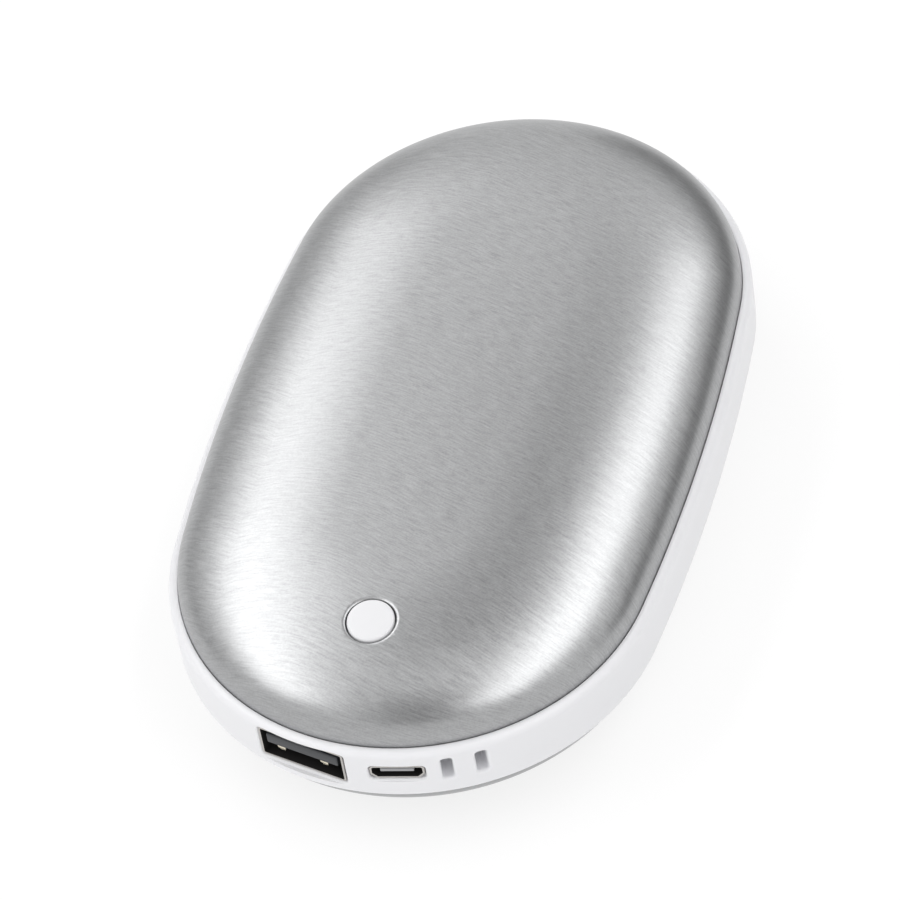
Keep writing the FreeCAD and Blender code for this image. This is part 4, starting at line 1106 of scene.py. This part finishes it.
def snap_disc(button, low, high):
    """Thin shallow arc turned about the plunger's axis."""
    reach = (high.x - low.x) / 2
    rise = high.z - low.z
    centre_y = (low.y + high.y) / 2
    radius = (reach**2 + rise**2) / (2 * rise)
    under = radius - button.disc_sheet
    level = high.z - radius
    section = []
    for arc, direction in ((radius, 1), (under, -1)):
        half_turn = math.acos((low.z - level) / arc)
        angles = [half_turn * step / DISC_STEPS for step in range(DISC_STEPS + 1)]
        section += [(arc * math.sin(angle), level + arc * math.cos(angle)) for angle in angles[::direction]]
    disc = trace("switch_snap_disc", [(out, centre_y, height) for out, height in section])
    spin_round((0, centre_y, 0), 2 * math.pi, ROUND_STEPS)
    weld()
    set_down(disc)
    return disc


class HANDWARMER_OT_usb_a(Operator):
    """Makes the USB-A socket: sheet box, black insert and contacts"""
    bl_idname = "hand_warmer.usb_a"
    bl_label = "USB-A socket"

    def execute(self, context):
        sockets = context.scene.hand_warmer_sockets
        placement = at_wall(sockets.usb_a_turn, Oval().middle + sockets.port_rise)
        outline = rounded_outline(sockets.usb_a_width, sockets.usb_a_height, USB_A_CORNER)
        sheet = sheet_box("usb_a_sheet", outline, sockets.usb_a_sheet, sockets.usb_a_recess,
                          sockets.usb_a_length)
        cut_windows(sheet, sockets)
        add_ears(sheet, sockets)
        # Inner faces of the sheet get the painted shade
        mark_painted_shade_faces(sheet)
        insert = usb_a_insert(sockets)
        blades = usb_a_blades(sockets)
        for piece in (sheet, insert, blades):
            set_down(piece, placement)
            smooth(piece)
        tones = finishes()
        finish_sheet(sheet, "usb_a_shell", "socket", rough=0.3)
        black = moulded("black insert plastic", tones.socket_black, rough=0.42, mottle=0.1)
        finish_piece(insert, "case", ["usb_a_tongue"], "socket_black", black)
        gilt = sheet_metal("plated blades", tones.contact, rough=0.3)
        finish_piece(blades, "case", ["usb_a_contacts"], "contact_metal", gilt)
        return {"FINISHED"}


def finish_sheet(sheet, node, name, rough):
    """Bright steel for a socket's sheet, and near-black painted shade with weak reflection for its inner
    faces.
    """
    tones = finishes()
    steel = sheet_metal(name + " steel", tones.steel, rough)
    # Painted shade: a near-black matt finish with weak reflection stands in for the shade on the steel inside
    # the socket
    painted_shade_gloss = {"Specular IOR Level": 0.15}
    inside = moulded(name + " inside", tones.inside, rough=0.75, mottle=0.2, extra=painted_shade_gloss)
    finish_piece(sheet, "case", [node], "socket_steel", steel, inside)


def mark_painted_shade_faces(piece):
    """Second material, the painted shade, for the faces that look inwards, before the sheet goes to its
    place.
    """
    for face in piece.data.polygons:
        outwards = Vector((face.center.x, 0, face.center.z))
        face.material_index = int(face.normal.dot(outwards) < 0 and abs(face.normal.y) < 0.5)


def sheet_box(name, outline, sheet, front, length):
    """Open tube of folded sheet: outline filled, inset by the sheet, its middle removed, drawn back."""
    points = [(x, front, z) for x, z in outline]
    piece = trace(name, points, closed=True)
    bpy.ops.mesh.edge_face_add()
    bpy.ops.mesh.select_mode(type="FACE")
    bpy.ops.mesh.inset(thickness=sheet, use_even_offset=True, use_boundary=True)
    bpy.ops.mesh.delete(type="FACE")
    bpy.ops.mesh.select_all(action="SELECT")
    bpy.ops.mesh.extrude_region_move(TRANSFORM_OT_translate={"value": (0, length, 0)})
    weld()
    set_down(piece)
    bevel_edges(piece, sheet / 5, 2, lambda first, second: max(first.y, second.y) < front + WELD)
    return piece


def extruded(name, points, step):
    """Solid drawn out from a closed outline by a step."""
    piece = trace(name, points, closed=True)
    bpy.ops.mesh.edge_face_add()
    bpy.ops.mesh.extrude_region_move(TRANSFORM_OT_translate={"value": step})
    weld()
    set_down(piece)
    return piece


def prism(name, outline, front, back):
    """Solid drawn back from an outline across a socket."""
    return extruded(name, [(x, front, z) for x, z in outline], (0, back - front, 0))


def cut_windows(sheet, sockets):
    """Latch windows through the top and the bottom of the USB-A sheet."""
    centre = sockets.usb_a_recess + sockets.usb_a_length / 2
    for x in (-WINDOW_OFFSET, WINDOW_OFFSET):
        low = (x - WINDOW_HALF_WIDTH, centre - WINDOW_HALF_LENGTH, -sockets.usb_a_height)
        high = (x + WINDOW_HALF_WIDTH, centre + WINDOW_HALF_LENGTH, sockets.usb_a_height)
        window = block("window", low, high)
        combine(sheet, window, "DIFFERENCE")


def add_ears(sheet, sockets):
    """Four ears that carry the USB-A sheet on the board."""
    back = sockets.usb_a_recess + sockets.usb_a_length
    inner = sockets.usb_a_width / 2 - sockets.usb_a_sheet / 2
    outer = inner + EAR_REACH
    level = blade_foot_level(sockets)
    for left, right in ((-outer, -inner), (inner, outer)):
        for end in (back - EAR_PITCH, back):
            low = (left, end - EAR_LENGTH, level)
            high = (right, end, level + sockets.usb_a_sheet)
            combine(sheet, block("ear", low, high), "UNION")


def blade_foot_level(sockets):
    """Board's upper face, seen from the middle of the sockets."""
    return -sockets.micro_height / 2


def tongue_top(sockets):
    return sockets.usb_a_height / 2 - sockets.usb_a_sheet - sockets.usb_a_tongue_drop


def usb_a_insert(sockets):
    """Moulded insert: a block at the socket's back, and the tongue with its edges rounded."""
    back = sockets.usb_a_recess + sockets.usb_a_length
    margin = 2 * (sockets.usb_a_sheet + sockets.socket_fit)
    outline = rounded_outline(sockets.usb_a_width - margin, sockets.usb_a_height - margin, USB_A_BLOCK_CORNER)
    insert = prism("usb_a_insert", outline, back - sockets.usb_a_back, back)
    top = tongue_top(sockets)
    bottom = top - sockets.usb_a_tongue_sheet
    half = sockets.usb_a_tongue / 2
    front = sockets.usb_a_recess + sockets.usb_a_tongue_setback
    tongue = block("tongue", (-half, front, bottom), (half, back - sockets.usb_a_back / 2, top),
                   USB_A_TONGUE_EDGE, 4)
    combine(insert, tongue, "UNION")
    places = (-sockets.blade_pitch / 2, sockets.blade_pitch / 2)
    start = back - sockets.usb_a_back
    cut_grooves(insert, places, sockets.blade_width, sockets.blade_sheet, bottom, start, back)
    return insert


def cut_grooves(insert, places, width, sheet, level, start, back):
    """Grooves right through an insert's block, under the tongue, for the contacts."""
    for x in places:
        low = (x - width / 2, start - OVERRUN, level - sheet)
        high = (x + width / 2, back + OVERRUN, level)
        combine(insert, block("groove", low, high), "DIFFERENCE")


def usb_a_blades(sockets):
    """Two bent contact blades: a nose that narrows downwards, a flat run and a foot on the board."""
    back = sockets.usb_a_recess + sockets.usb_a_length
    front = sockets.usb_a_recess + sockets.usb_a_tongue_setback + sockets.blade_setback
    top = tongue_top(sockets) - sockets.usb_a_tongue_sheet
    foot = blade_foot_level(sockets)
    sheet = sockets.blade_sheet
    nose_back = front + sockets.blade_nose_length
    nose_middle = front + sockets.blade_nose_length / 2
    profile = [(front, top), (back + 2 * sheet, top), (back + 2 * sheet, foot + sheet),
               (back + sockets.blade_foot, foot + sheet), (back + sockets.blade_foot, foot),
               (back + sheet, foot), (back + sheet, top - sheet), (nose_back, top - sheet),
               (nose_middle, top - sockets.blade_nose), (front, top - sheet)]
    left = -sockets.blade_pitch / 2
    start = left - sockets.blade_width / 2
    points = [(start, y, z) for y, z in profile]
    blades = extruded("usb_a_blades", points, (sockets.blade_width, 0, 0))
    nose = top - sockets.blade_nose
    narrow_nose(blades, (left, nose_middle, nose))
    bevel_edges(blades, sheet / 4, 2, lambda first, second: min(first.z, second.z) < nose + WELD)
    activate(blades)
    bpy.ops.object.mode_set(mode="EDIT")
    bpy.ops.mesh.select_all(action="SELECT")
    bpy.ops.mesh.duplicate_move(TRANSFORM_OT_translate={"value": (sockets.blade_pitch, 0, 0)})
    weld()
    set_down(blades)
    return blades


def narrow_nose(blades, tip):
    """Lowest edge of the nose drawn together towards its middle."""
    edit_selection(blades, "VERT", lambda vertex: vertex.co.z < tip[2] + WELD and vertex.co.y < tip[1] + WELD)
    bpy.ops.transform.resize(value=(NOSE_TIP, 1, 1), center_override=tip)
    bpy.ops.object.mode_set(mode="OBJECT")


def micro_insert(sockets):
    """Moulded insert of the micro socket: a block at its back and a thin rounded tongue."""
    back = sockets.micro_recess + sockets.micro_length
    inset = sockets.micro_sheet + sockets.socket_fit
    drawn_in = inset * (2 - math.sqrt(2))
    outline = micro_outline(sockets.micro_width - 2 * inset, sockets.micro_height - 2 * inset,
                            MICRO_CHAMFER - drawn_in, MICRO_TOP_CHAMFER - drawn_in)
    insert = prism("micro_usb_insert", outline, back - sockets.micro_back, back)
    top = sockets.micro_height / 2 - sockets.micro_sheet - sockets.micro_tongue_drop
    bottom = top - sockets.micro_tongue_sheet
    half = sockets.micro_tongue / 2
    front = sockets.micro_recess + sockets.micro_tongue_setback
    tongue = block("tongue", (-half, front, bottom), (half, back - sockets.micro_back / 2, top),
                   MICRO_TONGUE_EDGE, 3)
    combine(insert, tongue, "UNION")
    places = [index * MICRO_CONTACT_PITCH for index in range(-2, 3)]
    start = back - sockets.micro_back
    cut_grooves(insert, places, MICRO_CONTACT_WIDTH, MICRO_CONTACT_SHEET, bottom, start, back)
    return insert


class HANDWARMER_OT_micro_usb(Operator):
    """Makes the micro socket: folded sheet and grey insert"""
    bl_idname = "hand_warmer.micro_usb"
    bl_label = "Micro socket"

    def execute(self, context):
        sockets = context.scene.hand_warmer_sockets
        placement = at_wall(sockets.micro_turn, Oval().middle + sockets.port_rise)
        outline = micro_outline(sockets.micro_width, sockets.micro_height, MICRO_CHAMFER, MICRO_TOP_CHAMFER)
        sheet = sheet_box("micro_usb_sheet", outline, sockets.micro_sheet, sockets.micro_recess,
                          sockets.micro_length)
        # Inner faces of the sheet get the painted shade
        mark_painted_shade_faces(sheet)
        insert = micro_insert(sockets)
        for piece in (sheet, insert):
            set_down(piece, placement)
            smooth(piece)
        finish_sheet(sheet, "micro_usb_shell", "micro socket", rough=0.26)
        grey = moulded("grey insert plastic", finishes().socket_grey, rough=0.4, mottle=0.06)
        finish_piece(insert, "case", ["micro_usb_tongue"], "socket_grey", grey)
        return {"FINISHED"}


class HANDWARMER_OT_inner_parts(Operator):
    """Gives the pieces that keep their CAD shape their finishes"""
    bl_idname = "hand_warmer.inner_parts"
    bl_label = "Inner parts"

    def execute(self, context):
        tones = finishes()
        dress(sheet_metal("plated contacts", tones.contact, rough=0.3), "micro_usb_contacts")
        dress(sheet_metal("switch cover steel", tones.steel, rough=0.35), "switch_cover")
        nickel = sheet_metal("nickel strip", (0.55, 0.53, 0.5), rough=0.28)
        dress(nickel, "battery_tab_front", "battery_tab_rear", "switch_legs")
        dress(sheet_metal("screw steel", (0.5, 0.5, 0.52), rough=0.3), "board_screws", "tray_screws")
        for name, tone, rough, mottle, grain, depth, nodes in INNER_PLASTICS:
            dress(moulded(name, tone, rough, mottle, grain, depth), *nodes)
        return {"FINISHED"}


def dress(material, *names):
    """Finish for CAD nodes that stay as they are."""
    for name in names:
        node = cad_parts[name]
        node.data.materials.clear()
        node.data.materials.append(material)


class HANDWARMER_PT_panel(Panel):
    bl_label = "Hand warmer"
    bl_idname = "HANDWARMER_PT_panel"
    bl_space_type = "VIEW_3D"
    bl_region_type = "UI"
    bl_category = "Hand warmer"

    def draw(self, context):
        for operator in OPERATORS:
            self.layout.operator(operator.bl_idname)
        for group in GROUPS:
            settings = getattr(context.scene, group)
            self.layout.label(text=group.replace("_", " "))
            for name in settings.__annotations__:
                self.layout.prop(settings, name)


OPERATORS = (HANDWARMER_OT_stage, HANDWARMER_OT_band, HANDWARMER_OT_shells, HANDWARMER_OT_button,
             HANDWARMER_OT_snap_disc, HANDWARMER_OT_usb_a, HANDWARMER_OT_micro_usb, HANDWARMER_OT_inner_parts)
GROUPS = {
    "hand_warmer_body": BodySizes,
    "hand_warmer_button": ButtonSizes,
    "hand_warmer_sockets": SocketSizes,
    "hand_warmer_finishes": Finishes,
    "hand_warmer_studio": StudioSettings,
}


def register():
    for part in (*GROUPS.values(), *OPERATORS, HANDWARMER_PT_panel):
        bpy.utils.register_class(part)
    for name, group in GROUPS.items():
        setattr(bpy.types.Scene, name, PointerProperty(type=group))


def unregister():
    for name in GROUPS:
        delattr(bpy.types.Scene, name)
    for part in reversed((*GROUPS.values(), *OPERATORS, HANDWARMER_PT_panel)):
        bpy.utils.unregister_class(part)


def main():
    register()
    bpy.ops.hand_warmer.stage()
    bpy.ops.hand_warmer.band()
    bpy.ops.hand_warmer.shells()
    bpy.ops.hand_warmer.button()
    bpy.ops.hand_warmer.snap_disc()
    bpy.ops.hand_warmer.usb_a()
    bpy.ops.hand_warmer.micro_usb()
    bpy.ops.hand_warmer.inner_parts()


if __name__ == "__main__":
    main()
